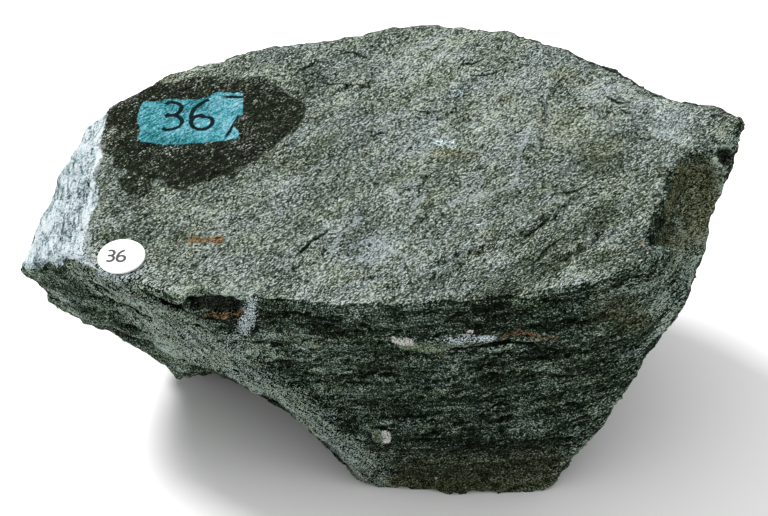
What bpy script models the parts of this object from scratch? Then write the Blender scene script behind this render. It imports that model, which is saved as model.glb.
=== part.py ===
"""A hand specimen of chiastolite schist: a broken block of grey-green layered rock with a round paper number label.

The top is a cleavage face that the rock split along, and the other faces break across the layers. The block starts as
the convex hull of named corners. Wedges are bitten out where the real faces are hollow, crystals are added where they
stand out, the whole surface is roughened in layers, and the bottom is cut off flat so that the block stands.
"""

import math

import bmesh
import bpy
from mathutils import Matrix, Vector, noise

# All lengths are millimetres, +X to the right, +Y to the back and +Z up, until the last step turns them to metres.
MM = 0.001

# The cleavage face: its height over the origin, and how much it rises to the right and to the back.
CLEAVAGE_HEIGHT = 47.9
CLEAVAGE_RISE_X = 0.0776
CLEAVAGE_RISE_Y = 0.1018
CLEAVAGE_NORMAL = Vector((-CLEAVAGE_RISE_X, -CLEAVAGE_RISE_Y, 1.0)).normalized()

# Corners of the block. The rims lie on the cleavage face, so they are given as x and y alone.
FRONT_CREST = [(-50, -22.5), (-44, -27.5), (-33.5, -32), (-12, -35), (0.5, -37.5), (16, -37.5), (33, -35.5), (42, -32)]
RIGHT_RIM = [(44.3, -28), (61.3, 2.7)]
BACK_RIM = [(48.6, 6), (35.5, 16.2), (28.5, 23), (21.6, 30.2), (8, 33.6), (-4.5, 32.7), (-24.4, 29.2), (-38.4, 24.8)]
LEFT_RIM = [(-47.3, 18)]
LEFT_FACE = [(-62.4, -11.3, 30.8), (-54.2, 9, 41), (-52.6, 15, 41.4), (-56.5, -16, 37.6)]
LEFT_FLANK = [(-56.7, -12, 26.5), (-53.8, -10, 19), (-49, -9, 16.5), (-42.2, -7, 10), (-38, -7, 6.5), (-50, 12, 22)]
LEFT_RIDGE = [(-41.1, -26.5, 36), (-29.9, -29, 30), (-20.4, -31, 21.2), (-9.1, -32.5, 11.9)]
RIGHT_FLANK = [(59, 0, 49.3), (57.8, -3, 45.8), (56, -10, 42), (55.6, -14, 41.5), (51, -24, 36), (45.8, -28, 29.5),
               (42.9, -30, 26.9), (41.1, -31, 22.3), (37.2, -32, 14.4), (33.9, -32.5, 10.3), (31.2, -33, 5.8)]
BACK_BEVEL = [(27, 28.5, 50.8), (31.7, 25.5, 50.4), (39.9, 22, 49.8), (44.5, 17, 49.3)]
BACK_FACE = [(-44, 24, 26), (-30, 33, 30), (-8, 37.5, 30), (14, 38, 34), (34, 32, 34), (50, 18, 36), (55, 8, 42),
             (-22, 33, 8), (18, 34, 8)]
BASE = [(-0.7, -31.8), (14, -33.6), (27, -32.4), (36, -10), (32, 24), (-24, 26), (-35.5, 5), (-33.5, 2)]
BASE_DEPTH = 1.5  # how far the corners of the base reach below the cut that the block stands on

# The scoop in the right face runs from the rim of the cleavage face, down a valley, out to the edge of the block.
SCOOP_RIM = [(52.6, -4, 51.6), (50.4, -8.8, 50.9), (48.7, -12.8, 50.4), (44.6, -20.6, 49.3), (43.6, -26, 48.7)]
SCOOP_VALLEY = [(53.9, -5.2, 50.4), (53.5, -6.3, 47), (51.7, -9.2, 45), (48.4, -15.1, 44), (44.6, -24.4, 45.5)]
SCOOP_EDGE = [(54.9, -8.5, 52), (56, -8.6, 48.8), (55.6, -11, 46), (55.4, -13.5, 42.8), (52, -20, 41.6)]

# The break under the left flank, and the one that undercuts the lower left next to it. Each is given by where it meets
# the front, its middle, where it meets the base, and points well below the rock.
FLANK_BREAK = [(-53.3, -22.2, 30), (-47, -24.7, 30), (-43.8, -25, 28), (-40, -26.3, 26), (-34.7, -30.6, 25),
               (-55, -7.4, 18.3), (-49, -7.5, 16.3), (-45.6, -6.7, 13.3), (-41.8, -6.9, 10.5), (-36, -12.6, 10.3),
               (-58, 18.6, -3), (-51.4, 15.9, -3), (-47.6, 12.8, -3), (-43.2, 8.8, -3), (-37.3, 2.9, -3),
               (-60, -35, 5), (-36, -35, 5), (-37, 3, -15), (-60, 18, -15)]
UNDERCUT_FRONT = [(-36.5, -30, 24.4), (-28, -30, 24.4), (-23, -33, 24.4), (-16.5, -35, 20.4), (-10, -35, 12), (-3, -37, 6)]
UNDERCUT_MIDDLE = [(-29, -13.5, 11.3), (-24, -16.5, 11.3), (-17, -21, 9.2), (-10, -27, 6)]
UNDERCUT_FOOT = [(-30.5, 2, -3), (-25, -1, -3), (-17.5, -8.5, -3), (-10.5, -18, -3), (-3.5, -27, -3)]
UNDERCUT_BELOW = [(-38, -45, -8), (-3, -45, -8), (-34, 3, -12), (-4, -25, -12)]

# The sloping break behind the pointed right corner.
BACK_CORNER_BREAK = [(40, 2, 62.5), (44, 2, 59.5), (50.5, 0, 58), (58, 0, 57), (42, 28, 44.5), (46, 25, 43),
                     (53, 25, 40), (60, 20, 42.5), (40, 28, 80), (62, 0, 80), (62, 28, 60)]

# The open crack under the right half of the front crest.
CRACK_TOP = [(29, -37.4, 46.1), (36, -34.6, 46.4), (42, -32.6, 46.8)]
CRACK_END = [(29.2, -35, 45.6), (35.5, -32.2, 45.9), (41.4, -30.8, 46.2)]
CRACK_BOTTOM = [(29, -37.2, 44.6), (36, -34.6, 44.8), (42, -32.6, 45)]

# Hollows and crystals are ellipsoids: (centre, radii).
HOLLOWS = {
    "corner_pit": ((57.2, -5, 50.4), (1.8, 1.9, 1.7)),
    "crest_hollow": ((-27.6, -33.4, 40.6), (6.2, 2.2, 1.6)),
    "side_slit": ((-45.6, -26.6, 38.4), (3.2, 1.2, 0.8)),
}
CRYSTALS = {
    "long_crystal": ((9.3, -36.2, 36.3), (8.8, 1.2, 2.1)),
    "left_section": ((-13.8, -33.9, 34.2), (2.2, 0.9, 2.3)),
    "middle_section": ((9.6, -35.6, 27.6), (1.9, 0.9, 2.0)),
    "low_crystal": ((-0.7, -33.3, 13.4), (1.9, 1.1, 1.9)),
    "scuffed_lump": ((-22.4, -32.3, 38.2), (1.3, 1.3, 3.4)),
}

# The surface: how far it is worked in and out, and over what distances along and across the layers.
VOXEL = 1.0
ROUGHNESS = [  # (depth, length along the layers, thickness across them, seed)
    (0.85, 13.0, 8.0, 11.0),
    (0.55, 6.5, 3.2, 23.0),
    (0.4, 3.0, 1.9, 37.0),
]
STEP_DEPTH = 0.3  # height of the steps where thin layers have flaked off the cleavage face
STEP_LENGTH = 13.0
GRAIN_TURN = 40.0  # the grain on the cleavage face runs this many degrees round from the right
GRAIN_STRETCH = 2.2
FACE_CALM = 0.6  # the cleavage face is this much as rough as the broken faces
TRIANGLES = 9200

# The round paper label, stuck flat on the front left of the cleavage face.
LABEL_AT = (-43.4, -22.1)
LABEL_RADIUS = 4.0
LABEL_THICKNESS = 0.3
LABEL_GAP = 0.3
LABEL_SIDES = 48
LABEL_SEAT = 5.6  # the rock is smooth within this distance of the label's centre
SEAT_FADE = 3.0

GRAIN = Vector((math.cos(math.radians(GRAIN_TURN)), math.sin(math.radians(GRAIN_TURN)), 0.0))
GRAIN = (GRAIN - CLEAVAGE_NORMAL * GRAIN.dot(CLEAVAGE_NORMAL)).normalized()

ROCK_COLOUR = (0.105, 0.125, 0.098)
PAPER_COLOUR = (0.86, 0.86, 0.84)


def on_cleavage(x, y):
    """The point of the cleavage face over x and y."""
    return Vector((x, y, CLEAVAGE_HEIGHT + CLEAVAGE_RISE_X * x + CLEAVAGE_RISE_Y * y))


def block_corners():
    """Every corner of the block, before anything is taken off it."""
    rim = [on_cleavage(x, y) for x, y in FRONT_CREST + RIGHT_RIM + BACK_RIM + LEFT_RIM]
    foot = [(x, y, -BASE_DEPTH) for x, y in BASE]
    return rim + LEFT_FACE + LEFT_FLANK + LEFT_RIDGE + RIGHT_FLANK + BACK_BEVEL + BACK_FACE + foot


def new_object(name, mesh, collection):
    obj = bpy.data.objects.new(name, mesh)
    collection.objects.link(obj)
    return obj


def mesh_from(bm, name):
    mesh = bpy.data.meshes.new(name)
    bm.to_mesh(mesh)
    bm.free()
    return mesh


def hull_of(points, name):
    """A closed mesh of the flat faces that wrap these points."""
    bm = bmesh.new()
    for point in points:
        bm.verts.new(point)
    made = bmesh.ops.convex_hull(bm, input=bm.verts)
    inside = set(made["geom_interior"]) | set(made["geom_unused"])
    bmesh.ops.delete(bm, geom=[item for item in inside if isinstance(item, bmesh.types.BMVert)], context="VERTS")
    bmesh.ops.recalc_face_normals(bm, faces=bm.faces)
    return mesh_from(bm, name)


def wedge_of(top_edge, valley, bottom_edge, name):
    """A wedge with its sharp side along the valley, carried on past the two edges so that it clears the rock."""
    past_top = [Vector(edge) * 2 - Vector(deep) for edge, deep in zip(top_edge, valley)]
    past_bottom = [Vector(edge) * 2 - Vector(deep) for edge, deep in zip(bottom_edge, valley)]
    return hull_of(past_top + valley + past_bottom, name)


def ellipsoid(centre, radii, name):
    bm = bmesh.new()
    place = Matrix.Translation(centre) @ Matrix.Diagonal((*radii, 1.0))
    bmesh.ops.create_icosphere(bm, subdivisions=3, radius=1.0, matrix=place)
    return mesh_from(bm, name)


def add_boolean(stone, operation, mesh, helpers):
    """Takes the mesh off the stone, or joins it on."""
    modifier = stone.modifiers.new(mesh.name, "BOOLEAN")
    modifier.operation = operation
    modifier.solver = "EXACT"
    modifier.object = new_object(mesh.name, mesh, helpers)


def bake_modifiers(obj):
    """Replaces the object's mesh by what its modifiers make of it."""
    bpy.context.view_layer.update()
    graph = bpy.context.evaluated_depsgraph_get()
    made = bpy.data.meshes.new_from_object(obj.evaluated_get(graph))
    obj.modifiers.clear()
    obj.data = made


def remesh(obj, size):
    """Wraps the object in an even skin of small squares."""
    modifier = obj.modifiers.new("skin", "REMESH")
    modifier.mode = "VOXEL"
    modifier.voxel_size = size
    bake_modifiers(obj)


def layered_noise(point, length, thickness, seed):
    """Smooth noise from -1 to 1, drawn out along the rock's layers and most of all along its grain."""
    across = point.dot(CLEAVAGE_NORMAL)
    with_grain = point.dot(GRAIN)
    rest = point - CLEAVAGE_NORMAL * across - GRAIN * with_grain
    place = rest / length + GRAIN * (with_grain / length / GRAIN_STRETCH) + CLEAVAGE_NORMAL * (across / thickness)
    return noise.noise(place + Vector((seed, 0.0, 0.0)))


def smooth_step(low, high, value):
    share = min(max((value - low) / (high - low), 0.0), 1.0)
    return share * share * (3 - 2 * share)


def relief(point, normal):
    """How far the surface is worked in or out at a point."""
    depth = sum(size * layered_noise(point, length, thick, seed) for size, length, thick, seed in ROUGHNESS)
    flatness = smooth_step(0.8, 0.97, normal.dot(CLEAVAGE_NORMAL))
    flaked = smooth_step(-0.03, 0.03, layered_noise(point, STEP_LENGTH, STEP_LENGTH, 51.0))
    depth = depth * (1 - (1 - FACE_CALM) * flatness) - STEP_DEPTH * flaked * flatness
    from_label = (point - on_cleavage(*LABEL_AT)).length
    return depth * smooth_step(LABEL_SEAT, LABEL_SEAT + SEAT_FADE, from_label)


def roughen(mesh):
    normals = [vertex.normal.copy() for vertex in mesh.vertices]
    for vertex, normal in zip(mesh.vertices, normals):
        vertex.co = vertex.co + normal * relief(vertex.co, normal)


def cut_flat(mesh, height):
    """Cuts everything below the height off, and closes the cut with a flat face."""
    bm = bmesh.new()
    bm.from_mesh(mesh)
    every = bm.verts[:] + bm.edges[:] + bm.faces[:]
    made = bmesh.ops.bisect_plane(bm, geom=every, plane_co=(0, 0, height), plane_no=(0, 0, 1), clear_inner=True)
    rim = [item for item in made["geom_cut"] if isinstance(item, bmesh.types.BMEdge)]
    bmesh.ops.contextual_create(bm, geom=rim)
    bmesh.ops.triangulate(bm, faces=bm.faces[:])
    bmesh.ops.recalc_face_normals(bm, faces=bm.faces)
    bm.to_mesh(mesh)
    bm.free()


def thin_out(obj, count):
    """Merges triangles where the surface is flattest until this many are left."""
    mesh = obj.data
    mesh.calc_loop_triangles()
    modifier = obj.modifiers.new("fewer triangles", "DECIMATE")
    modifier.ratio = count / len(mesh.loop_triangles)
    modifier.use_collapse_triangulate = True
    bake_modifiers(obj)


def make_stone(specimen, helpers):
    stone = new_object("schist_block", hull_of(block_corners(), "block"), specimen)
    add_boolean(stone, "DIFFERENCE", wedge_of(SCOOP_RIM, SCOOP_VALLEY, SCOOP_EDGE, "scoop"), helpers)
    undercut = UNDERCUT_FRONT + UNDERCUT_MIDDLE + UNDERCUT_FOOT + UNDERCUT_BELOW
    add_boolean(stone, "DIFFERENCE", hull_of(undercut, "undercut"), helpers)
    add_boolean(stone, "DIFFERENCE", hull_of(FLANK_BREAK, "flank_break"), helpers)
    add_boolean(stone, "DIFFERENCE", hull_of(BACK_CORNER_BREAK, "back_corner_break"), helpers)
    add_boolean(stone, "DIFFERENCE", wedge_of(CRACK_TOP, CRACK_END, CRACK_BOTTOM, "crest_crack"), helpers)
    for name, (centre, radii) in HOLLOWS.items():
        add_boolean(stone, "DIFFERENCE", ellipsoid(centre, radii, name), helpers)
    for name, (centre, radii) in CRYSTALS.items():
        add_boolean(stone, "UNION", ellipsoid(centre, radii, name), helpers)
    bake_modifiers(stone)
    remesh(stone, VOXEL)
    roughen(stone.data)
    remesh(stone, VOXEL)
    thin_out(stone, TRIANGLES)
    cut_flat(stone.data, 0.0)
    return stone


def make_label(specimen):
    """A paper disc that lies along the cleavage face with a hair of air under it."""
    bm = bmesh.new()
    height = LABEL_GAP + LABEL_THICKNESS / 2
    turn = CLEAVAGE_NORMAL.to_track_quat("Z", "Y").to_matrix().to_4x4()
    place = Matrix.Translation(on_cleavage(*LABEL_AT) + CLEAVAGE_NORMAL * height) @ turn
    bmesh.ops.create_cone(bm, cap_ends=True, segments=LABEL_SIDES, radius1=LABEL_RADIUS, radius2=LABEL_RADIUS,
                          depth=LABEL_THICKNESS, matrix=place)
    return new_object("number_label", mesh_from(bm, "label"), specimen)


def box_of(obj):
    """The lowest and highest x, y and z."""
    columns = list(zip(*(vertex.co for vertex in obj.data.vertices)))
    return [min(column) for column in columns], [max(column) for column in columns]


def to_metres(objects, stone):
    """Moves the middle of the stone's underside to the origin and turns millimetres to metres."""
    low, high = box_of(stone)
    middle = Vector(((low[0] + high[0]) / 2, (low[1] + high[1]) / 2, low[2]))
    for obj in objects:
        obj.data.transform(Matrix.Scale(MM, 4) @ Matrix.Translation(-middle))
    return middle


def paint(obj, name, colour, roughness):
    material = bpy.data.materials.new(name)
    material.use_nodes = True
    shader = material.node_tree.nodes["Principled BSDF"]
    shader.inputs["Base Color"].default_value = (*colour, 1.0)
    shader.inputs["Roughness"].default_value = roughness
    obj.data.materials.clear()
    obj.data.materials.append(material)


def main():
    for obj in list(bpy.data.objects):
        bpy.data.objects.remove(obj)
    specimen = bpy.data.collections.new("chiastolite_schist_specimen")
    helpers = bpy.data.collections.new("bites_and_crystals")
    for collection in (specimen, helpers):
        bpy.context.scene.collection.children.link(collection)

    stone = make_stone(specimen, helpers)
    label = make_label(specimen)
    middle = to_metres([stone, label], stone)
    paint(stone, "schist", ROCK_COLOUR, 0.75)
    paint(label, "label_paper", PAPER_COLOUR, 0.6)

    helpers.hide_render = True
    for helper in helpers.objects:
        helper.hide_render = True
        helper.display_type = "WIRE"
    print("origin moved by", [round(value, 3) for value in middle], "mm;", len(stone.data.polygons), "triangles")


main()
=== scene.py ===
# %% [markdown]
# # A schist hand specimen with a numbered label
# The real object is a broken block of grey-green schist, about as wide as a palm. It split along a flat
# cleavage face, which is its top, and broke across the layers everywhere else. This lesson dresses the
# plain CAD block: it gives the rock its small relief, its cracks and its colours, and sticks a paper
# label on it.

import math

import bmesh
import bpy
import numpy as np
from mathutils import Matrix, Vector


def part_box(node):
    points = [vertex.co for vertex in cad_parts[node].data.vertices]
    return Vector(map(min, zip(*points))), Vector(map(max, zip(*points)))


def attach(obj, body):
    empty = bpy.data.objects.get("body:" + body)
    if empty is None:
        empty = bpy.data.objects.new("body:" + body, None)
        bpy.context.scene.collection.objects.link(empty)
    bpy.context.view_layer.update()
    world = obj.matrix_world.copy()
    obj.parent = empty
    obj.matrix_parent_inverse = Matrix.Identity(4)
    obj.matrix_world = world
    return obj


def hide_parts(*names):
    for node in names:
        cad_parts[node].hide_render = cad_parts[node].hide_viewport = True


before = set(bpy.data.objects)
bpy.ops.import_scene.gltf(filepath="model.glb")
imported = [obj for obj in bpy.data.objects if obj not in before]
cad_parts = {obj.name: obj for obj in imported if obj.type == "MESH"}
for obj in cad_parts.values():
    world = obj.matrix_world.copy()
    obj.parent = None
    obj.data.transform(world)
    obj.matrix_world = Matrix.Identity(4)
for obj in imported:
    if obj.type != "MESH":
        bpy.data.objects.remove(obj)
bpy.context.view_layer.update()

# %% [markdown]
# ## Where things are on the block
# The block was measured in millimetres from a point on its underside, before its origin was moved to the
# middle of its box. The label sits at a known place in those measures, so it tells how far the origin
# moved, and every feature below can be given by its plain measured place.

# %% Measures of the block
MM = 0.001
CLEAVAGE_HEIGHT = 47.9
CLEAVAGE_RISE = (0.0776, 0.1018)  # how much the cleavage face rises to the right and to the back
LAYER = Vector((-CLEAVAGE_RISE[0], -CLEAVAGE_RISE[1], 1.0)).normalized()
GRAIN_TURN = 40.0  # degrees from the right to the way the grain runs on the cleavage face
GRAIN = Vector((math.cos(math.radians(GRAIN_TURN)), math.sin(math.radians(GRAIN_TURN)), 0.0))
GRAIN = (GRAIN - LAYER * GRAIN.dot(LAYER)).normalized()
ACROSS = LAYER.cross(GRAIN)
TOP_FROM = 38.0  # every point of the cleavage face is higher than this

LABEL_AT = (-43.4, -22.1)
LABEL_LIFT = 0.45  # from the cleavage face up to the middle of the CAD label
LABEL_RADIUS = 4.0


def on_cleavage(x, y):
    """The point of the cleavage face over x and y."""
    return Vector((x, y, CLEAVAGE_HEIGHT + CLEAVAGE_RISE[0] * x + CLEAVAGE_RISE[1] * y))


label_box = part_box("number_label")
label_centre = (label_box[0] + label_box[1]) / 2 / MM
ORIGIN = label_centre - (on_cleavage(*LABEL_AT) + LAYER * LABEL_LIFT)
TO_BLOCK = Matrix.Translation(-ORIGIN) @ Matrix.Scale(1 / MM, 4)
print("the block's measuring point lies at", [round(value, 3) for value in ORIGIN], "mm")

# %% [markdown]
# ## An even skin for the rock
# The CAD block has triangles of all sizes, too coarse for chips and cracks. A copy of it, merged and
# wrapped in a voxel skin, has small even faces everywhere, which the relief can move. A little smoothing
# takes away the voxels' stair steps and the CAD triangles' flat look.

# %% Wrap a copy of the block
SKIN_SIZE = 0.61
SKIN_SMOOTHING = 5


def settle(obj):
    """Replaces the object's mesh by what its modifiers make of it."""
    bpy.context.view_layer.update()
    graph = bpy.context.evaluated_depsgraph_get()
    made = bpy.data.meshes.new_from_object(obj.evaluated_get(graph))
    obj.modifiers.clear()
    obj.data = made


def merged_copy(node, name):
    """A new object with the CAD node's shape, in block millimetres and with its loose triangles joined."""
    bm = bmesh.new()
    bm.from_mesh(node.data)
    bm.transform(TO_BLOCK)
    bmesh.ops.remove_doubles(bm, verts=bm.verts[:], dist=0.001)
    mesh = bpy.data.meshes.new(name)
    bm.to_mesh(mesh)
    bm.free()
    obj = bpy.data.objects.new(name, mesh)
    bpy.context.scene.collection.objects.link(obj)
    return obj


rock = merged_copy(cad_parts["schist_block"], "layered_rock")
skin = rock.modifiers.new("skin", "REMESH")
skin.mode = "VOXEL"
skin.voxel_size = SKIN_SIZE
smoothing = rock.modifiers.new("smoothing", "SMOOTH")
smoothing.factor = 0.5
smoothing.iterations = SKIN_SMOOTHING
settle(rock)
print("the skin has", len(rock.data.polygons), "faces")

# %% [markdown]
# ## Helpers for node trees
# Shader trees and geometry trees are built the same way: add a node, then set each input to a value or
# link it to another node's output. One helper does both, and small ones on top of it do the sums.


# %% Node helpers
def add(tree, kind, inputs=None, out=0, **settings):
    """Adds a node, fills its inputs with values or links, and returns one of its outputs."""
    node = tree.nodes.new(kind)
    for name, value in settings.items():
        setattr(node, name, value)
    for key, value in (inputs or {}).items():
        if isinstance(value, bpy.types.NodeSocket):
            tree.links.new(value, node.inputs[key])
        else:
            node.inputs[key].default_value = value
    return node.outputs[out]


def sum_of(tree, operation, first, second=0.0, clamp=False):
    """One step of arithmetic on numbers."""
    return add(tree, "ShaderNodeMath", {0: first, 1: second}, operation=operation, use_clamp=clamp)


def dot_of(tree, vector, direction):
    """How far a place lies along a direction."""
    return add(tree, "ShaderNodeVectorMath", {0: vector, 1: direction}, "Value", operation="DOT_PRODUCT")


def vector_of(tree, operation, first, second=(0.0, 0.0, 0.0), out=0):
    """One step of arithmetic on vectors."""
    return add(tree, "ShaderNodeVectorMath", {0: first, 1: second}, out, operation=operation)


def noise_of(tree, place, size, detail=2.0, roughness=0.55, seed=0.0):
    """Smooth noise from 0 to 1 with lumps of this size in millimetres."""
    inputs = {"Vector": place, "W": seed, "Scale": 1 / size, "Detail": detail, "Roughness": roughness}
    return add(tree, "ShaderNodeTexNoise", inputs, noise_dimensions="4D")


def ramp_of(tree, value, low, high, to_low=0.0, to_high=1.0):
    """Eases from to_low to to_high while the value goes from low to high."""
    inputs = {"Value": value, "From Min": low, "From Max": high, "To Min": to_low, "To Max": to_high}
    return add(tree, "ShaderNodeMapRange", inputs, interpolation_type="SMOOTHSTEP")


def new_group(kind, name, inputs, outputs):
    """A node group with named sockets. Returns the tree, its input node and its output node."""
    tree = bpy.data.node_groups.new(name, kind)
    for label, socket_type, default in inputs:
        socket = tree.interface.new_socket(label, in_out="INPUT", socket_type=socket_type)
        if default is not None:
            socket.default_value = default
    for label, socket_type in outputs:
        tree.interface.new_socket(label, in_out="OUTPUT", socket_type=socket_type)
    return tree, tree.nodes.new("NodeGroupInput"), tree.nodes.new("NodeGroupOutput")


def use(tree, group, inputs):
    """Puts a group into a shader tree with these inputs, and returns the node."""
    return add(tree, "ShaderNodeGroup", inputs, node_tree=group).node


print("helpers ready")

# %% [markdown]
# ## The relief of a layered rock
# Schist is a stack of thin mica sheets. Seen on its cleavage face the relief is low and drawn out along
# the grain. Seen on a broken face the sheets stick out as fine ribs. Both come from one rule: noise that
# is stretched along the grain and squeezed across the layers. A Geometry Nodes tree holds the rule, and
# the block runs through it several times, from large lumps to grit. Ledge gives steps instead of waves,
# as where sheets have flaked off.

# %% Relief tree
FLOAT, VECTOR = "NodeSocketFloat", "NodeSocketVector"
relief_inputs = [
    ("Geometry", "NodeSocketGeometry", None),
    ("Material", "NodeSocketMaterial", None),
    ("Length", FLOAT, 3.0),
    ("Thickness", FLOAT, 1.0),
    ("Stretch", FLOAT, 2.0),
    ("Depth", FLOAT, 0.2),
    ("Ledge", FLOAT, 0.0),
    ("Steps", FLOAT, 4.0),
    ("Calm Cleavage", FLOAT, 0.5),
    ("Seed", FLOAT, 0.0),
]
relief, relief_in, relief_out = new_group(
    "GeometryNodeTree", "Layered relief", relief_inputs, [("Geometry", "NodeSocketGeometry")]
)
given = relief_in.outputs
spot = add(relief, "GeometryNodeInputPosition")
facing = add(relief, "GeometryNodeInputNormal")
lengthwise = sum_of(relief, "MULTIPLY", given["Length"], given["Stretch"])
along = sum_of(relief, "DIVIDE", dot_of(relief, spot, GRAIN), lengthwise)
aside = sum_of(relief, "DIVIDE", dot_of(relief, spot, ACROSS), given["Length"])
up = sum_of(relief, "DIVIDE", dot_of(relief, spot, LAYER), given["Thickness"])
stretched = add(relief, "ShaderNodeCombineXYZ", {0: along, 1: aside, 2: up})
wave = noise_of(relief, stretched, 1.0, detail=2.0, seed=given["Seed"])
stair = sum_of(relief, "SNAP", wave, sum_of(relief, "DIVIDE", 1.0, given["Steps"]))
wave = add(relief, "ShaderNodeMix", {0: given["Ledge"], 2: wave, 3: stair}, data_type="FLOAT")
flat = ramp_of(relief, dot_of(relief, facing, LAYER), 0.8, 0.97)
calm = sum_of(relief, "SUBTRACT", 1.0, sum_of(relief, "MULTIPLY", flat, given["Calm Cleavage"]))
height = sum_of(relief, "MULTIPLY", sum_of(relief, "SUBTRACT", wave, 0.5), 2.0)
height = sum_of(relief, "MULTIPLY", sum_of(relief, "MULTIPLY", height, given["Depth"]), calm)
push = add(relief, "ShaderNodeVectorMath", {0: facing, "Scale": height}, operation="SCALE")
moved = add(relief, "GeometryNodeSetPosition", {"Geometry": given["Geometry"], "Offset": push})
covered = add(relief, "GeometryNodeSetMaterial", {"Geometry": moved, "Material": given["Material"]})
realized = add(relief, "GeometryNodeRealizeInstances", {"Geometry": covered})
relief.links.new(realized, relief_out.inputs["Geometry"])
print("relief tree:", len(relief.nodes), "nodes")

# %% Run the block through the relief
RELIEF_PASSES = {
    "lumps": {"Length": 3.6, "Thickness": 2.2, "Depth": 0.6, "Calm Cleavage": 0.45, "Seed": 3.0},
    "flakes": {
        "Length": 5.0, "Thickness": 3.0, "Depth": 1.1, "Ledge": 1.0, "Steps": 8.0,
        "Calm Cleavage": 0.25, "Seed": 8.0,
    },
    "ribs": {
        "Length": 3.0, "Thickness": 0.8, "Stretch": 1.6, "Depth": 0.38, "Calm Cleavage": 0.75, "Seed": 5.0,
    },
    "grit": {
        "Length": 0.8, "Thickness": 0.8, "Stretch": 1.4, "Depth": 0.22, "Calm Cleavage": 0.1, "Seed": 2.0,
    },
}
schist = bpy.data.materials.new("schist")


def run_through(obj, tree, name, values):
    """Adds the tree as a modifier, with its inputs set by their sockets' identifiers."""
    modifier = obj.modifiers.new(name, "NODES")
    modifier.node_group = tree
    sockets = {item.name: item.identifier for item in tree.interface.items_tree if item.in_out == "INPUT"}
    for label, value in values.items():
        modifier[sockets[label]] = value


for name, values in RELIEF_PASSES.items():
    run_through(rock, relief, name, {"Material": schist, **values})
settle(rock)
print("relief done:", len(rock.data.vertices), "points")

# %% [markdown]
# ## Reading the rock into arrays
# Cracks, chips and stains have places of their own on this block, so they aren't left to noise. With all
# points and normals in arrays, one line of arithmetic moves or marks thousands of points at once.


# %% Array helpers
def rows_of(items, field):
    """A field of three numbers for every point, as a table with one row for each."""
    table = np.empty(len(items) * 3, np.float32)
    items.foreach_get(field, table)
    return table.reshape(-1, 3).astype(float)


def put_points(mesh, points):
    """Moves the mesh's points to these places."""
    mesh.vertices.foreach_set("co", points.astype(np.float32).ravel())
    mesh.update()


def ease(low, high, value):
    """0 below low, 1 above high, and a smooth change between. Low may be the larger."""
    share = np.clip((value - low) / (high - low), 0.0, 1.0)
    return share * share * (3 - 2 * share)


def to_line(points, start, end):
    """Each point's distance from a straight line, and how far along the line it is, 0 to 1."""
    start, end = np.array(start, float), np.array(end, float)
    run = end - start
    share = np.clip((points - start) @ run / max(run @ run, 1e-9), 0.0, 1.0)
    return np.linalg.norm(points - start - share[:, None] * run, axis=1), share


mesh_edges = np.empty(len(rock.data.edges) * 2, np.int32)
rock.data.edges.foreach_get("vertices", mesh_edges)
mesh_edges = mesh_edges.reshape(-1, 2)
neighbours = np.bincount(mesh_edges.ravel(), minlength=len(rock.data.vertices)).astype(float)


def spread(values, rounds):
    """Averages each point's value with its neighbours', several times over."""
    for _ in range(rounds):
        total = np.empty_like(values)
        for column in range(values.shape[1]):
            total[:, column] = np.bincount(mesh_edges[:, 0], values[mesh_edges[:, 1], column], len(values))
            total[:, column] += np.bincount(mesh_edges[:, 1], values[mesh_edges[:, 0], column], len(values))
        values = (values + total / neighbours[:, None]) / 2
    return values


print("arrays ready:", len(mesh_edges), "edges")

# %% [markdown]
# ## Cracks and flaked edges
# A crack is a thin open line. It is pressed in along a few straight runs and gets shallower towards both
# ends. A bowl is a round hollow, and with its depth turned round it is a bump. A lifted sheet has come
# away from the layer below: it rises slowly from one side and ends in a small cliff on the other, which
# catches or blocks the light. All of them are given by where they lie, so that each can be set by itself.

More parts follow.
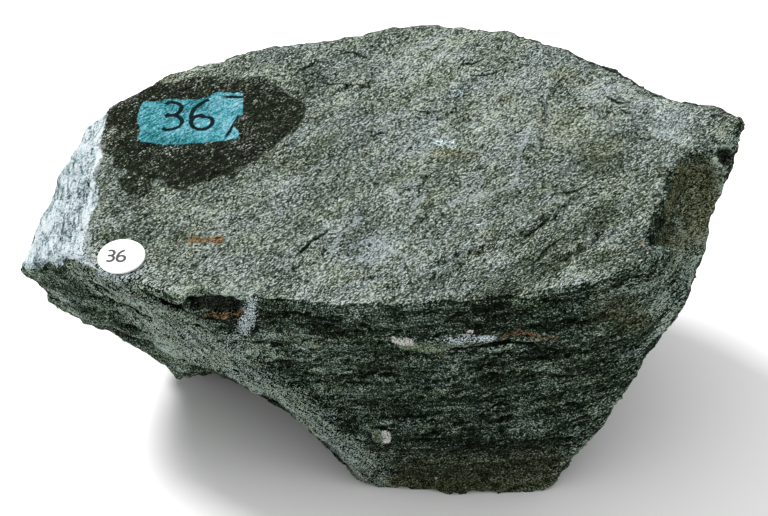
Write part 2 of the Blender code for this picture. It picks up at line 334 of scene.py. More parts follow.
# %% Cracks and bowls
CRACKS = [  # (half width, depth, places along the crack)
    (0.4, 0.8, [(-13.8, -23.3, 44.3), (-11.9, -20.9, 44.6), (-9.6, -18.6, 45.0)]),
    (0.3, 0.35, [(28.8, -13.4, 48.7), (32.6, -12.2, 49.2)]),
    (0.3, 0.45, [(23.9, -22.0, 47.1), (25.4, -20.9, 47.6), (26.6, -19.8, 48.0)]),
    (0.3, 0.4, [(24.9, -28.0, 46.4), (26.2, -25.9, 47.0), (28.2, -24.6, 47.6)]),
    (0.75, 1.4, [(-48.7, -22.5, 37.3), (-47.3, -22.6, 36.6), (-45.8, -23.0, 35.4)]),
    (0.75, 1.4, [(-45.2, -21.5, 32.7), (-43.4, -22.5, 32.9), (-41.6, -23.1, 32.0)]),
    (0.5, 0.9, [(-32.5, -29.8, 34.2), (-30.3, -31.0, 34.3), (-28.0, -31.6, 33.8)]),
    (0.5, 0.8, [(-38.4, -29.6, 40.2), (-36.0, -29.7, 38.8), (-33.5, -30.8, 38.7)]),
    (0.28, 0.35, [(-8.8, 18.2, 49.1), (-6.4, 17.5, 49.2), (-4.0, 17.0, 49.5)]),
    (0.28, 0.35, [(-7.2, 26.7, 49.7), (-5.6, 27.1, 49.9), (-3.3, 25.4, 49.8)]),
    (0.25, 0.3, [(6.0, 9.3, 49.7), (7.9, 8.9, 49.6), (9.9, 9.1, 49.9)]),
    (0.3, 0.4, [(14.4, 20.9, 51.4), (15.6, 21.1, 51.6), (16.7, 21.5, 51.8)]),
    (0.25, 0.3, [(16.6, 17.9, 51.2), (18.7, 17.8, 51.5)]),
    (0.35, 0.45, [(-14.6, 22.3, 49.2), (-12.2, 24.9, 49.1)]),
    (0.35, 0.45, [(38.5, 9.7, 52.2), (39.8, 9.1, 51.9), (41.3, 8.7, 52.0)]),
    (0.25, 0.3, [(41.1, 6.7, 51.4), (42.2, 5.9, 51.5)]),
    (0.5, 0.7, [(10.1, -36.8, 34.9), (15.7, -36.8, 35.1), (20.6, -36.6, 35.8), (23.9, -35.6, 35.1)]),
    (0.3, 0.4, [(27.3, 10.8, 51.1), (27.9, 9.4, 50.9), (27.9, 4.9, 50.3)]),
]
BOWLS = [  # (radius, depth, place): a hollow, or with a depth below zero a bump
    (2.3, 1.6, (-30.5, -31.0, 40.4)),
    (2.3, 1.7, (-27.5, -31.4, 40.2)),
    (1.8, 1.2, (-24.8, -31.8, 40.4)),
    (1.9, 1.3, (57.1, -4.5, 50.5)),
    (1.2, 0.7, (-2.2, -33.4, 12.0)),
    (0.9, -0.7, (12.4, 13.9, 50.2)),
    (1.3, -0.5, (2.6, -35.8, 36.0)),
    (1.6, -0.35, (-11.3, -35.5, 34.8)),
    (1.3, -0.5, (0.2, -34.2, 14.3)),
    (1.3, -0.4, (16.2, 3.5, 49.8)),
]


def to_path(points, places):
    """Each point's distance from a line through several places, and how far along it is, 0 to 1."""
    nearest = np.full(len(points), 1e9)
    along = np.zeros(len(points))
    runs = list(zip(places, places[1:]))
    for number, (start, end) in enumerate(runs):
        distance, share = to_line(points, start, end)
        closer = distance < nearest
        nearest = np.where(closer, distance, nearest)
        along = np.where(closer, (number + share) / len(runs), along)
    return nearest, along


def press_cracks(points, normals):
    """Presses the cracks and bowls into the skin."""
    for width, depth, places in CRACKS:
        distance, share = to_path(points, places)
        narrow = np.sqrt(np.clip(np.sin(math.pi * share), 0.1, 1.0))
        inside = ease(width * 1.9, width * 0.4, distance)
        points = points - normals * (depth * narrow * inside)[:, None]
    for radius, depth, place in BOWLS:
        distance = np.linalg.norm(points - place, axis=1)
        points = points - normals * (depth * ease(radius, radius * 0.3, distance))[:, None]
    return points


print("cracks:", len(CRACKS), "bowls:", len(BOWLS))

# %% Lifted sheets
SHEET_LIFT = 1.6  # all the sheets together are lifted this many times as high
SHEETS = [  # (x, y, half length, half width, turn of the cliff's outward side in degrees, height)
    (30.5, -23.0, 6.0, 3.4, -55, 0.55),
    (24.0, -16.0, 7.5, 4.0, -50, 0.4),
    (40.5, 8.0, 4.6, 2.6, 60, 0.6),
    (32.0, 16.5, 4.0, 2.4, 75, 0.45),
    (-6.0, 19.5, 4.2, 2.6, -80, 0.45),
    (8.0, 11.5, 4.5, 3.0, -85, 0.35),
    (-14.5, -22.5, 6.0, 3.4, -60, 0.4),
    (-26.0, -10.0, 9.0, 4.0, -60, 0.3),
    (2.0, -6.0, 8.0, 4.5, -55, 0.32),
    (15.0, 22.0, 7.0, 3.5, 80, 0.4),
    (-18.0, 24.0, 6.0, 3.0, 70, 0.4),
    (43.0, -12.0, 6.5, 3.5, -30, 0.35),
    (12.0, -22.0, 8.0, 4.0, -60, 0.3),
    (-32.0, 0.0, 7.0, 3.5, -65, 0.28),
    (-2.0, 8.0, 8.0, 3.6, -55, 0.3),
    (22.0, 2.0, 6.0, 4.0, -40, 0.35),
]


def lift_sheets(points, share_of_cleavage):
    """Raises each sheet slowly up to its edge, where it ends in a small cliff."""
    for x, y, half_length, half_width, turn, height in SHEETS:
        outward = np.array([math.cos(math.radians(turn)), math.sin(math.radians(turn))])
        sideways = np.array([-outward[1], outward[0]])
        offset = points[:, :2] - (x, y)
        out, side = offset @ outward, offset @ sideways
        wobble = 0.5 * np.sin(side * 1.3) + 0.25 * np.sin(side * 3.1)
        edge = half_width * (1 - 0.5 * (side / half_length) ** 2) + wobble
        rise = ease(-2.2 * half_width, edge, out) * ease(edge + 0.35, edge - 0.1, out)
        rise = rise * ease(half_length, half_length * 0.6, np.abs(side))
        points = points + np.outer(rise * SHEET_LIFT * height * share_of_cleavage, LAYER)
    return points


points = rows_of(rock.data.vertices, "co")
normals = rows_of(rock.data.vertex_normals, "vector")
points = lift_sheets(points, ease(0.86, 0.96, spread(normals, 6) @ np.array(LAYER)))
uncracked = points  # marks are measured here, where a bump or bowl hasn't moved their place
points = press_cracks(points, normals)
print("lifted sheets:", len(SHEETS))

# %% [markdown]
# ## A seat for the label, and the CAD box
# Paper glued to rock bridges the finest relief, so the rock is calmed to the plain cleavage face under
# the label. The last step keeps every point inside the CAD block's own box, and flat where the block
# stands.

# %% Seat and box
SEAT_RADIUS = 4.6
SEAT_FADE = 1.6
SEAT_REACH = 2.0  # relief farther than this from the plain cleavage face isn't under the label
SEAT_CALM = 0.9  # the share of the relief that is taken away
STAND = 0.25  # points this low belong to the flat spot that the block stands on
INSET = 0.005  # kept free inside the CAD block's box

seat_centre = np.array(on_cleavage(*LABEL_AT))
from_label = np.linalg.norm((points - seat_centre)[:, :2], axis=1)
above_plane = (points - seat_centre) @ np.array(LAYER)
under_label = (points[:, 2] > TOP_FROM) & (np.abs(above_plane) < SEAT_REACH)
seated = ease(SEAT_RADIUS + SEAT_FADE, SEAT_RADIUS, from_label) * under_label
seat_shift = np.outer(seated * above_plane * SEAT_CALM, LAYER)
points = points - seat_shift
uncracked = uncracked - seat_shift

rock_low, rock_high = [np.array(TO_BLOCK @ corner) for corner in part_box("schist_block")]
points = np.clip(points, rock_low + INSET, rock_high - INSET)
points[points[:, 2] < STAND, 2] = rock_low[2]
put_points(rock.data, points)
normals = rows_of(rock.data.vertex_normals, "vector")
print("rock box in mm:", points.min(0).round(2), points.max(0).round(2))

# %% [markdown]
# ## Marks that the colours follow
# The shader can't tell a crest from a hollow, or where the varnish stops. Each such mark is measured here
# once and kept on the mesh as a named attribute: crests from how far a point stands out from its smoothed
# surroundings, and painted areas as the distance from their outline, which the shader can cut crisply and
# fray with noise.

# %% Crests, faces and outlines
VARNISH = [  # corners of the dark patch, x and y
    (-47.6, 17.0), (-45.0, 19.5), (-42.5, 19.6), (-39.5, 21.4), (-37.3, 20.6), (-33.6, 22.4), (-29.5, 21.8),
    (-21.2, 20.3), (-18.4, 18.1), (-16.8, 15.7), (-14.2, 13.7), (-14.4, 10.5), (-15.8, 7.3), (-19.1, 3.9),
    (-21.9, 1.0), (-23.8, 0.3), (-24.6, -1.6), (-25.9, -3.1), (-27.6, -2.2), (-29.4, -3.2), (-33.1, -4.7),
    (-34.4, -5.7), (-35.8, -5.0), (-36.7, -3.3), (-38.3, -2.4), (-39.6, -3.8), (-40.0, -5.7), (-41.3, -6.7),
    (-42.7, -6.2), (-44.6, -3.4), (-42.8, -1.3), (-42.9, 0.5), (-45.8, 0.8), (-45.4, 2.5), (-48.2, 6.0),
    (-47.9, 10.6),
]
PAINT = [  # corners of the painted rectangle
    (-42.2, 16.1), (-41.0, 16.9), (-38.9, 16.6), (-37.9, 17.2), (-31.1, 16.9), (-28.8, 18.2), (-24.5, 17.6),
    (-24.3, 12.6), (-26.1, 9.7), (-25.1, 8.2), (-24.8, 6.2), (-27.2, 5.4), (-31.5, 5.1), (-36.3, 5.4),
    (-40.1, 5.8), (-41.6, 5.8), (-42.4, 7.3), (-41.8, 9.7), (-42.7, 12.1),
]
LEFT_FACE = (-46.2, -48.0)  # from the first x to the second the bruised left face begins


def inside_of(points, outline):
    """Distance from a closed outline on the cleavage face: positive inside, negative outside."""
    nearest = np.full(len(points), 1e9)
    inside = np.zeros(len(points), bool)
    flat_points = np.column_stack([points[:, :2], np.zeros(len(points))])
    for (x0, y0), (x1, y1) in zip(outline, outline[1:] + outline[:1]):
        nearest = np.minimum(nearest, to_line(flat_points, (x0, y0, 0), (x1, y1, 0))[0])
        crosses = (y0 > points[:, 1]) != (y1 > points[:, 1])
        reach = x0 + (points[:, 1] - y0) * (x1 - x0) / (y1 - y0 if y1 != y0 else 1e-9)
        inside ^= crosses & (points[:, 0] < reach)
    below_top = np.clip((TOP_FROM - points[:, 2]) * 2, 0, 20)
    return np.where(inside, nearest, -nearest) - below_top


def mark(mesh, name, values):
    """Keeps one number for each point as an attribute that a shader can read by name."""
    attribute = mesh.attributes.new(name, "FLOAT", "POINT")
    attribute.data.foreach_set("value", values.astype(np.float32))


wide_normals = spread(normals, 8)
wide_normals = wide_normals / np.linalg.norm(wide_normals, axis=1)[:, None]
cleavage_share = ease(0.8, 0.94, spread(normals, 3) @ np.array(LAYER)) * ease(30.0, 40.0, points[:, 2])
bruised_share = ease(0.2, 0.45, -wide_normals[:, 0]) * ease(*LEFT_FACE, points[:, 0])
bruised_share = bruised_share * ease(0.25, 0.5, wide_normals[:, 2])
marks = {
    "cleavage_share": cleavage_share,
    "bruised_share": bruised_share,
    "fine_crest": ((points - spread(points, 3)) * normals).sum(1),
    "varnish_edge": inside_of(points, VARNISH),
    "paint_edge": inside_of(points, PAINT),
}
for name, values in marks.items():
    mark(rock.data, name, values)
    print(name, "from", round(float(values.min()), 2), "to", round(float(values.max()), 2))

# %% [markdown]
# ## Stains, bruises, crystals, and painted light and shade
# Each patch of another colour is a soft capsule: a line between two places with a radius and a strength.
# For each kind, the mesh keeps the strength of the strongest capsule at every point, and the shader
# breaks the edges up with noise. Every capsule is given as (start, end, radius, strength). Some of the
# lighter capsules are painted light on rims and faces that catch it, and some darker ones painted shade.

# %% Bruised and lit places
# Partly crushed grains, and partly painted light: strips along the crest, the scoop's rims and faces round
# the right side that catch the light.
BRUISED_AND_LIT_PLACES = [  # crushed grains, lighter than the rock round them
    # on the cleavage face and its rim
    ((36.6, 12.4, 52), (46.5, 8.2, 52), 3.6, 0.45), ((49.2, 1.7, 51.8), (44, 6.6, 52), 3.2, 0.18),
    ((44, 4, 51.6), (36.8, 5.9, 51.3), 2.6, 0.12), ((45.9, 1.4, 51.6), (51.4, -3, 51.9), 1.6, 0.5),
    ((53, 3, 52.5), (58, -1, 52.6), 2.0, 0.2), ((-52.3, -19.8, 39.6), (-48.7, -23, 40), 1.4, 0.2),
    ((-48.7, -23, 40), (-44.4, -25.8, 39.1), 2.0, 0.55), ((-50.5, 16.5, 44), (-48, 11.5, 44.2), 2.4, 0.6),
    ((-10, -28, 45), (10, -30, 46), 5.0, 0.16), ((-33, -22, 43.2), (-24, -26, 43.4), 4.0, 0.16),
    ((28, -34, 45.5), (44, -28, 47.5), 1.4, 0.3), ((29.8, -31.3, 46.6), (30.8, -30.6, 46.8), 0.9, 0.6),
    ((-10.6, -16.3, 45.5), (-9.1, -16.7, 45.4), 0.9, 0.55), ((15.3, 4.5, 49.6), (17, 2.6, 49.9), 1.3, 0.6),
    ((-4, -22, 45), (3, -25, 45.3), 2.6, 0.1), ((19.6, 0.6, 49.9), (24.9, 7, 50.5), 5.0, 0.48),
    ((27.3, 1.8, 50), (34.1, 3.1, 50.1), 4.5, 0.42), ((16.2, -2.5, 49), (19.6, -0.6, 49.7), 2.5, 0.35),
    ((4.5, 17.9, 50.1), (9.7, 18.7, 50.7), 4.2, 0.32), ((12.3, 21.6, 51.8), (14.1, 20, 51.2), 3.2, 0.42),
    ((-34.3, 10.9, 46.2), (-26.1, 8.5, 46.3), 3.6, 0.85),
    ((-29.3, 15.8, 46.8), (-25.3, 15.3, 47.1), 2.6, 0.5),
    # painted light along the crest of the left front
    ((-34.2, -30.2, 42), (-31.8, -30.2, 41.8), 1.3, 0.7),
    ((-31.8, -30.2, 41.8), (-26, -31.6, 42.2), 1.2, 0.8),
    ((-26, -31.6, 42.2), (-22.8, -32.3, 42.2), 1.3, 0.8),
    ((45.9, -12.7, 50.4), (47.2, -14.6, 48.7), 1.5, 0.6),
    ((55.3, -6.8, 50.1), (55.5, -7.5, 46.4), 1.5, 0.7),
    ((44.3, -27.7, 47.1), (50.8, -21.2, 40.7), 3.0, 0.25),
    ((-17.2, -20.2, 43.9), (-13.1, -20.2, 45), 2.5, 0.4), ((8.4, -28.4, 45.4), (10, -27.6, 45.8), 2.2, 0.5),
    ((2.7, -10.9, 47.5), (4, -10, 47.6), 2.4, 0.3), ((57.8, -2.7, 51.5), (59.3, -1.8, 51.6), 1.6, 0.7),
    ((8.4, 8.5, 49.8), (9.2, 8.4, 49.7), 2.4, 0.3), ((-29.9, -12.8, 44.2), (-20.7, -13.3, 44.5), 2.6, 0.22),
    ((-34.9, -26.6, 42.3), (-33.6, -26.6, 42.3), 2.4, 0.35),
    ((-14, -34.5, 42.5), (-4.5, -35.7, 42.6), 1.8, 0.4),
    ((35.5, -33.7, 45.6), (36.7, -33.3, 45.5), 1.6, 0.4),
    ((30.4, 16.4, 52.3), (35.5, 16.4, 52.2), 3.0, 0.28),
    # on the left side
    ((-44.4, -25.8, 39.1), (-37.7, -26.7, 33.4), 3.4, 0.5),
    ((-37.7, -26.7, 33.4), (-25.3, -30.1, 27), 4.2, 0.45),
    ((-25.3, -30.1, 27), (-14.1, -31.9, 16.9), 3.6, 0.38),
    ((-14.1, -31.9, 16.9), (-5.4, -32.8, 6.6), 3.6, 0.55),
    ((-55.5, -13.3, 27.4), (-53.6, -13.2, 24.1), 2.5, 0.55),
    ((-37.3, -24, 26.7), (-34.3, -24.6, 24.2), 2.8, 0.85),
    ((-34.3, -24.6, 24.2), (-35.1, -20.1, 17.4), 2.4, 0.6), ((-42, -26, 36), (-26, -29.5, 32), 6.5, 0.3),
    ((-40, -24.5, 39.5), (-30, -29, 37), 4.0, 0.25), ((-20, -33.6, 36.7), (-18, -34.1, 36.2), 1.6, 0.45),
    ((-22.5, -33, 30), (-18.8, -33.4, 30), 2.6, 0.55), ((-51, -21, 37.8), (-48.1, -22, 36.5), 2.0, 0.5),
    ((-56.6, -12.7, 37.5), (-54.6, -15.6, 38.9), 2.4, 0.6),
    ((-14.2, -35, 37.4), (-13.7, -35.3, 37), 2.0, 0.4),
    ((-37.2, -23.8, 26.5), (-36.1, -22.9, 23.2), 2.8, 0.9),
    ((-39.5, -23.5, 28), (-38, -23.5, 26.5), 2.4, 0.5),
    # on the front face
    ((-5.4, -32.8, 6.6), (-1.4, -31.8, 0.7), 2.6, 0.5), ((34.8, -31.5, 10.6), (30.8, -33, 6.5), 1.3, 0.6),
    ((25, -35.2, 29.5), (28.4, -34.9, 28.8), 0.9, 0.6),
    ((11.2, -36.4, 30.5), (11.5, -36.4, 30.5), 0.7, 0.8),
    ((-10.9, -33.7, 28), (-10.5, -33.7, 28), 0.8, 0.6),
    ((22.4, -34.4, 16.6), (25.5, -34.4, 15.3), 1.8, 0.35), ((-10.9, -34, 28), (-5, -35.5, 29), 1.1, 0.3),
    ((36.7, -33.3, 44.4), (43.5, -30.4, 43.1), 1.6, 0.35),
    ((-4, -33.4, 14.5), (-1.5, -34.2, 12.9), 2.0, 0.3), ((9.9, -36.7, 38.8), (11.1, -37, 38.8), 2.0, 0.3),
    # round the right side, painted light on the scoop's rims and on faces that catch the light
    ((52, -20, 40.6), (50.8, -23.5, 38.1), 1.2, 0.6), ((50.8, -23.5, 38.1), (47.1, -27.2, 33.2), 1.1, 0.6),
    ((47.1, -27.2, 33.2), (42.5, -30.4, 29), 1.3, 0.6), ((50.7, -15.7, 42.8), (52.8, -15.5, 42), 2.8, 0.6),
    ((53.1, -6, 48), (53.8, -8.4, 45), 1.8, 0.35), ((46.2, -27.6, 40.9), (49.9, -24.5, 37.8), 2.6, 0.25),
    ((44.7, -29.2, 36.5), (46.9, -27, 37.3), 1.6, 0.8),
]
print("bruised places:", len(BRUISED_AND_LIT_PLACES))

# %% Dark places
# Partly painted shade: on the scoop's left wall, under the crest of the left front and under the long
# crystal; the others only make the rock darker there.
DARK_PLACES = [  # darker than the rock round them
    # on the cleavage face and its rim
    ((49.8, -8.1, 49.8), (46.9, -16.1, 48.0), 1.5, 0.8), ((24, -26, 46.8), (30, -24, 47.6), 3.5, 0.3),
    ((10.8, -29.8, 45.4), (17.5, -34.7, 45.5), 4.2, 0.75),
    ((9.1, -33.6, 44.7), (18.8, -36, 44.9), 2.6, 0.5),
    ((20.2, -31.6, 45.6), (28.7, -28.7, 46.6), 3.2, 0.65),
    ((31.1, -29.3, 47.1), (35.2, -29.7, 47.4), 2.8, 0.55),
    ((37.1, -30.2, 47.4), (42.6, -27.6, 47.8), 2.2, 0.5),
    ((-5.3, -22, 44.9), (-2.3, -14.7, 46.2), 2.5, 0.55), ((-12, 18.7, 48.5), (-11.9, 11.7, 47.8), 3.4, 0.5),
    ((-44.5, -8.1, 43.8), (-41.8, -11.5, 43.2), 3.6, 0.42),
    ((-45.6, -17.6, 42.6), (-34.8, -17.8, 42.7), 3.2, 0.6),
    ((37.1, -5.7, 50.4), (43.5, -9.7, 50.7), 4.0, 0.35),
    ((30.5, -23.5, 48.1), (35.7, -18.2, 48.2), 3.0, 0.55),
    ((-29.5, -25.9, 42.3), (-15.4, -27.9, 43.3), 2.4, 0.3),
    ((-1.5, -29.9, 44.2), (0.2, -31.4, 44.6), 2.4, 0.45), ((-4, -9.5, 46.9), (1, -7.3, 47.3), 2.8, 0.28),
    ((13.9, 9.2, 50), (14.6, 4.1, 49.4), 2.4, 0.35), ((11.8, -14.9, 47.8), (12.6, -15, 47.9), 2.2, 0.3),
    ((-17.3, 24.7, 49.6), (-16.8, 24.2, 49.5), 2.4, 0.3),
    ((-49.8, -2, 43.4), (-49.6, -7.8, 42.5), 1.4, 0.6), ((27, -18.5, 48.2), (28, -18.5, 48.2), 2.4, 0.35),
    ((19.5, -14, 48.2), (20.5, -14, 48.2), 2.2, 0.3), ((-38.5, -22.5, 42.6), (-36, -22.5, 42.8), 2.6, 0.45),
    ((37, -30.6, 47.2), (38.5, -30, 47.6), 2.0, 0.75), ((24, -28.7, 46), (25.6, -28.9, 46.3), 2.2, 0.9),
    # on the left side
    ((-40, -28, 38), (-33, -30, 38.5), 1.2, 0.5), ((-53.7, -3.7, 40.4), (-52.9, -10.7, 40.4), 3.2, 0.7),
    ((-18.5, -33, 27), (-8, -33.3, 15.5), 4.0, 0.7),
    ((-35.5, -27.6, 32.4), (-31.9, -30.5, 36.3), 2.2, 0.25),
    ((-25.8, -31.9, 31.7), (-25.4, -32.1, 31.5), 2.0, 0.35),
    ((-44.5, -24.6, 38.8), (-38.5, -26.5, 39.5), 1.8, 0.55),
    ((-38.5, -26.5, 39.5), (-33, -29.3, 39.8), 2.2, 0.7),
    ((-54, -18.5, 39), (-49.5, -21.5, 38.6), 1.8, 0.5), ((-29, -31, 36.2), (-22, -33, 36), 1.6, 0.5),
    ((-13, -33, 20), (-11, -33.3, 18), 2.0, 0.9), ((-58.5, -14.2, 35), (-57.5, -15, 35.2), 1.4, 0.6),
    ((-30, -31.5, 38.5), (-23.5, -32.8, 38.3), 1.4, 0.6),
    # on the front face
    ((0, -36.8, 33.2), (24, -36, 33.8), 1.2, 0.4), ((5, -34, 8), (28, -34.5, 8), 6.0, 0.15),
    ((26.5, -34.9, 31), (35, -33.1, 27.3), 4.0, 0.3), ((30.2, -34.1, 18.4), (31.4, -34.1, 18.4), 2.4, 0.35),
    ((11, -35.2, 21.5), (19.3, -34.5, 20.3), 2.6, 0.25), ((-4.7, -36, 35.1), (-1.5, -35.7, 34.2), 2.0, 0.3),
    ((37.8, -33.1, 39.7), (39, -32.4, 38.5), 2.4, 0.3), ((18, -35.2, 28), (23, -35, 27.5), 2.6, 0.4),
    ((2.7, -34.7, 20.4), (9, -35.4, 21), 2.2, 0.4),
    # round the right side
    ((43, -29.5, 30.5), (44.5, -29, 28.5), 2.2, 0.45),
]
print("dark places:", len(DARK_PLACES))

# %% Patches of other colours
PATCHES = {  # kind: its capsules
    "bruise_and_light": BRUISED_AND_LIT_PLACES,
    "shade": DARK_PLACES,
    "scuff": [  # white crushed rock, frost on the long crystal, and glue round the label
        ((-21.5, -32.6, 41.5), (-21.9, -33, 39.6), 0.8, 0.72),
        ((-21.9, -33, 39.6), (-23.1, -33, 36), 1.2, 0.74), ((10.1, -36.9, 36.2), (14, -37, 37), 0.9, 0.66),
        ((14, -37, 37), (17.4, -36.8, 37.2), 0.7, 0.6),
        ((-47.2, -24.4, 41.6), (-45.9, -25.3, 41), 0.5, 0.8),
        ((-45.9, -25.3, 41), (-43.8, -26.4, 41.3), 0.65, 0.9),
        ((-43.8, -26.4, 41.3), (-41.8, -26.5, 41.9), 0.45, 0.7),
        ((9.3, 2.1, 48.4), (12, 0.4, 49), 0.7, 0.78), ((-14.6, -35, 33.6), (-12.8, -35, 33.2), 0.5, 0.5),
        ((12.2, 13.9, 50.2), (12.6, 13.9, 50.2), 0.85, 1.0),
    ],
    "hollow": [  # black, where no light gets in
        ((-30.4, -31, 39.9), (-28.8, -31.2, 40), 0.8, 1.0),
        ((-28.8, -31.2, 40.2), (-25.9, -31.6, 40.2), 1.2, 1.0),
        ((-25.9, -31.6, 40.2), (-23.6, -32, 40.6), 0.8, 0.9),
        ((57.1, -4.5, 50.5), (57.2, -4.9, 50.2), 1.35, 1.0),
        ((-2.4, -33.8, 13.5), (-2, -33.1, 10.6), 0.6, 0.8), ((-2, -33.1, 10.6), (0, -33.2, 9.8), 0.5, 0.7),
        ((13.2, 13.2, 50.2), (13.4, 13.4, 50.2), 0.45, 0.7),
        ((-48.7, -22.5, 37.3), (-45.8, -23, 35.4), 0.5, 0.8),
        ((-45.2, -21.5, 32.7), (-41.6, -23.1, 32), 0.5, 0.8),
    ],
    "blue": [
        ((36.6, 12.4, 52), (40.7, 8.6, 52), 4.0, 0.6), ((49.2, 1.7, 51.8), (44, 6.6, 52), 4.2, 0.7),
        ((44, 4, 51.6), (36.8, 5.9, 51.3), 3.6, 0.6), ((12.2, 14.1, 50.3), (13, 15.5, 50.3), 1.6, 0.5),
        ((24, 0, 49.5), (22, -9, 48.6), 3.0, 0.5), ((-8, -22, 45), (14, -24, 46.4), 5.0, 0.4),
        ((-27, -25, 43.4), (-14, -28, 44), 4.5, 0.5), ((2, -12, 47), (12, -8, 48), 3.5, 0.35),
        ((-4, 6, 48), (4, 4, 49), 5.0, 0.35), ((-16, -10, 45), (-8, -10, 46), 4.0, 0.35),
        ((-20, 27, 49), (-8, 30, 50), 3.0, 0.35), ((-49, -20, 41.6), (-49, -14, 41.8), 1.6, 0.5),
    ],
    "olive": [
        ((53.1, -7, 47.1), (53.1, -10, 44.1), 3.6, 0.8), ((53.1, -10, 44.1), (52, -13.9, 42.9), 3.8, 0.8),
        ((49.9, -8.1, 49.4), (47.4, -16.1, 47.2), 1.6, 0.8), ((50, -18, 44), (46, -23, 43), 3.0, 0.5),
        ((29.7, 17, 52.5), (32, 15.5, 52.2), 1.8, 0.5), ((20.3, 11.4, 50.7), (22, 11.1, 50.5), 1.0, 0.5),
        ((9.5, -1, 48.6), (14.5, -2.8, 49), 1.5, 0.5), ((1.9, -32.3, 1.8), (9.5, -33.2, 1.7), 2.0, 0.45),
        ((9.5, -33.2, 1.7), (28, -33, 2), 2.4, 0.45), ((5, -34, 6), (28, -34.5, 6), 4.0, 0.25),
        ((36, -33.3, 42), (42.1, -30.9, 36.2), 3.0, 0.3),
        ((9.2, -36.6, 34.4), (9.2, -36.6, 33.6), 0.6, 0.6), ((-22, 4, 47), (-16, -2, 47), 3.0, 0.25),
        ((28, 8, 50), (36, -2, 50), 4.0, 0.25), ((-38.3, 22.8, 46.9), (-37, 22.9, 46.9), 1.2, 0.7),
    ],
    "rust": [
        ((19.7, -36.4, 37.3), (21.8, -36.2, 37.9), 0.4, 0.7),
        ((21.8, -36.2, 37.9), (24.2, -35.9, 37.3), 0.4, 0.7),
        ((24.2, -36, 37), (28.5, -35.1, 35.6), 0.35, 0.45),
        ((-29, -31.9, 38.1), (-26.1, -32.4, 38.3), 0.4, 0.7),
        ((-26.1, -32.4, 38.3), (-23.1, -32.6, 39.1), 0.42, 0.74),
        ((-31.9, -17.9, 42.7), (-27.2, -18.6, 43.2), 0.75, 0.85),
        ((54.7, -12.7, 41.3), (54.4, -11.5, 42.0), 1.2, 0.2),
        ((41.7, -25.2, 47.8), (42.1, -25.2, 47.8), 0.6, 0.3),
    ],
    "crystal": [
        ((3.2, -35.9, 35.0), (6.7, -36.6, 34.9), 1.05, 0.95),
        ((6.7, -36.6, 34.9), (9.6, -36.8, 35.3), 1.15, 0.95),
        ((9.6, -36.8, 35.4), (14, -37, 36.2), 0.7, 0.6),
        ((-11.4, -35.5, 34.9), (-11, -35.5, 34.6), 1.3, 0.62),
        ((-15.9, -34.4, 36.1), (-15.5, -34.4, 36), 1.3, 0.5),
        ((-1.2, -34.1, 13.1), (-1.1, -34.1, 14.2), 0.85, 0.95),
    ],
    "grains": [  # the white heads of crystals, and single white grains
        ((1.6, -35.7, 36.1), (2.8, -35.8, 35.9), 0.75, 0.85),
        ((2.8, -35.8, 35.9), (4.1, -36.4, 35.8), 0.85, 1.0),
        ((13.7, -36.8, 38.6), (14.3, -36.8, 38.5), 0.4, 0.9),
        ((0.3, -34.2, 14.5), (0.5, -33.8, 12.5), 0.75, 1.0),
        ((15.6, 4.2, 49.6), (16.4, 3.4, 49.8), 0.45, 0.7),
        ((-37.8, -11.5, 43.3), (-37.6, -11.5, 43.3), 0.35, 0.8),
        ((15.3, -19.9, 47.5), (15.5, -19.9, 47.5), 0.35, 0.7),
        ((43, -27.6, 47.8), (43.2, -27.6, 47.8), 0.35, 0.7),
        ((8.7, -33.1, 3.2), (8.9, -33.1, 3.2), 0.4, 0.7),
    ],
    "flank": [  # where the sheets run along the left ridge
        ((-50, -22, 40), (-44.4, -25.8, 38), 4.0, 1.0), ((-44.4, -25.8, 38), (-34, -27, 31), 7.0, 1.0),
        ((-34, -27, 31), (-14.1, -31.9, 16.9), 7.0, 1.0),
        ((-14.1, -31.9, 16.9), (-1.4, -31.8, 0.7), 4.0, 1.0),
    ],
}


def capsules(points, items):
    """The strongest capsule at each point, fading out over its radius."""
    strongest = np.zeros(len(points))
    for start, end, radius, strength in items:
        distance = to_line(points, start, end)[0]
        strongest = np.maximum(strongest, strength * ease(1.5 * radius, 0.35 * radius, distance))
    return strongest


for kind, items in PATCHES.items():
    mark(rock.data, kind, capsules(uncracked, items))
print("patches:", sum(len(items) for items in PATCHES.values()))

# %% [markdown]
# ## Thin lines
# A line thinner than the mesh's faces can't be stored as on or off. Instead each point near it stores how
# far it lies to the line's left or right. That changes evenly from face to face, so the shader finds the
# exact place where it is zero and can draw a line of any width there. A second attribute says how close
# the line is, and ends it.

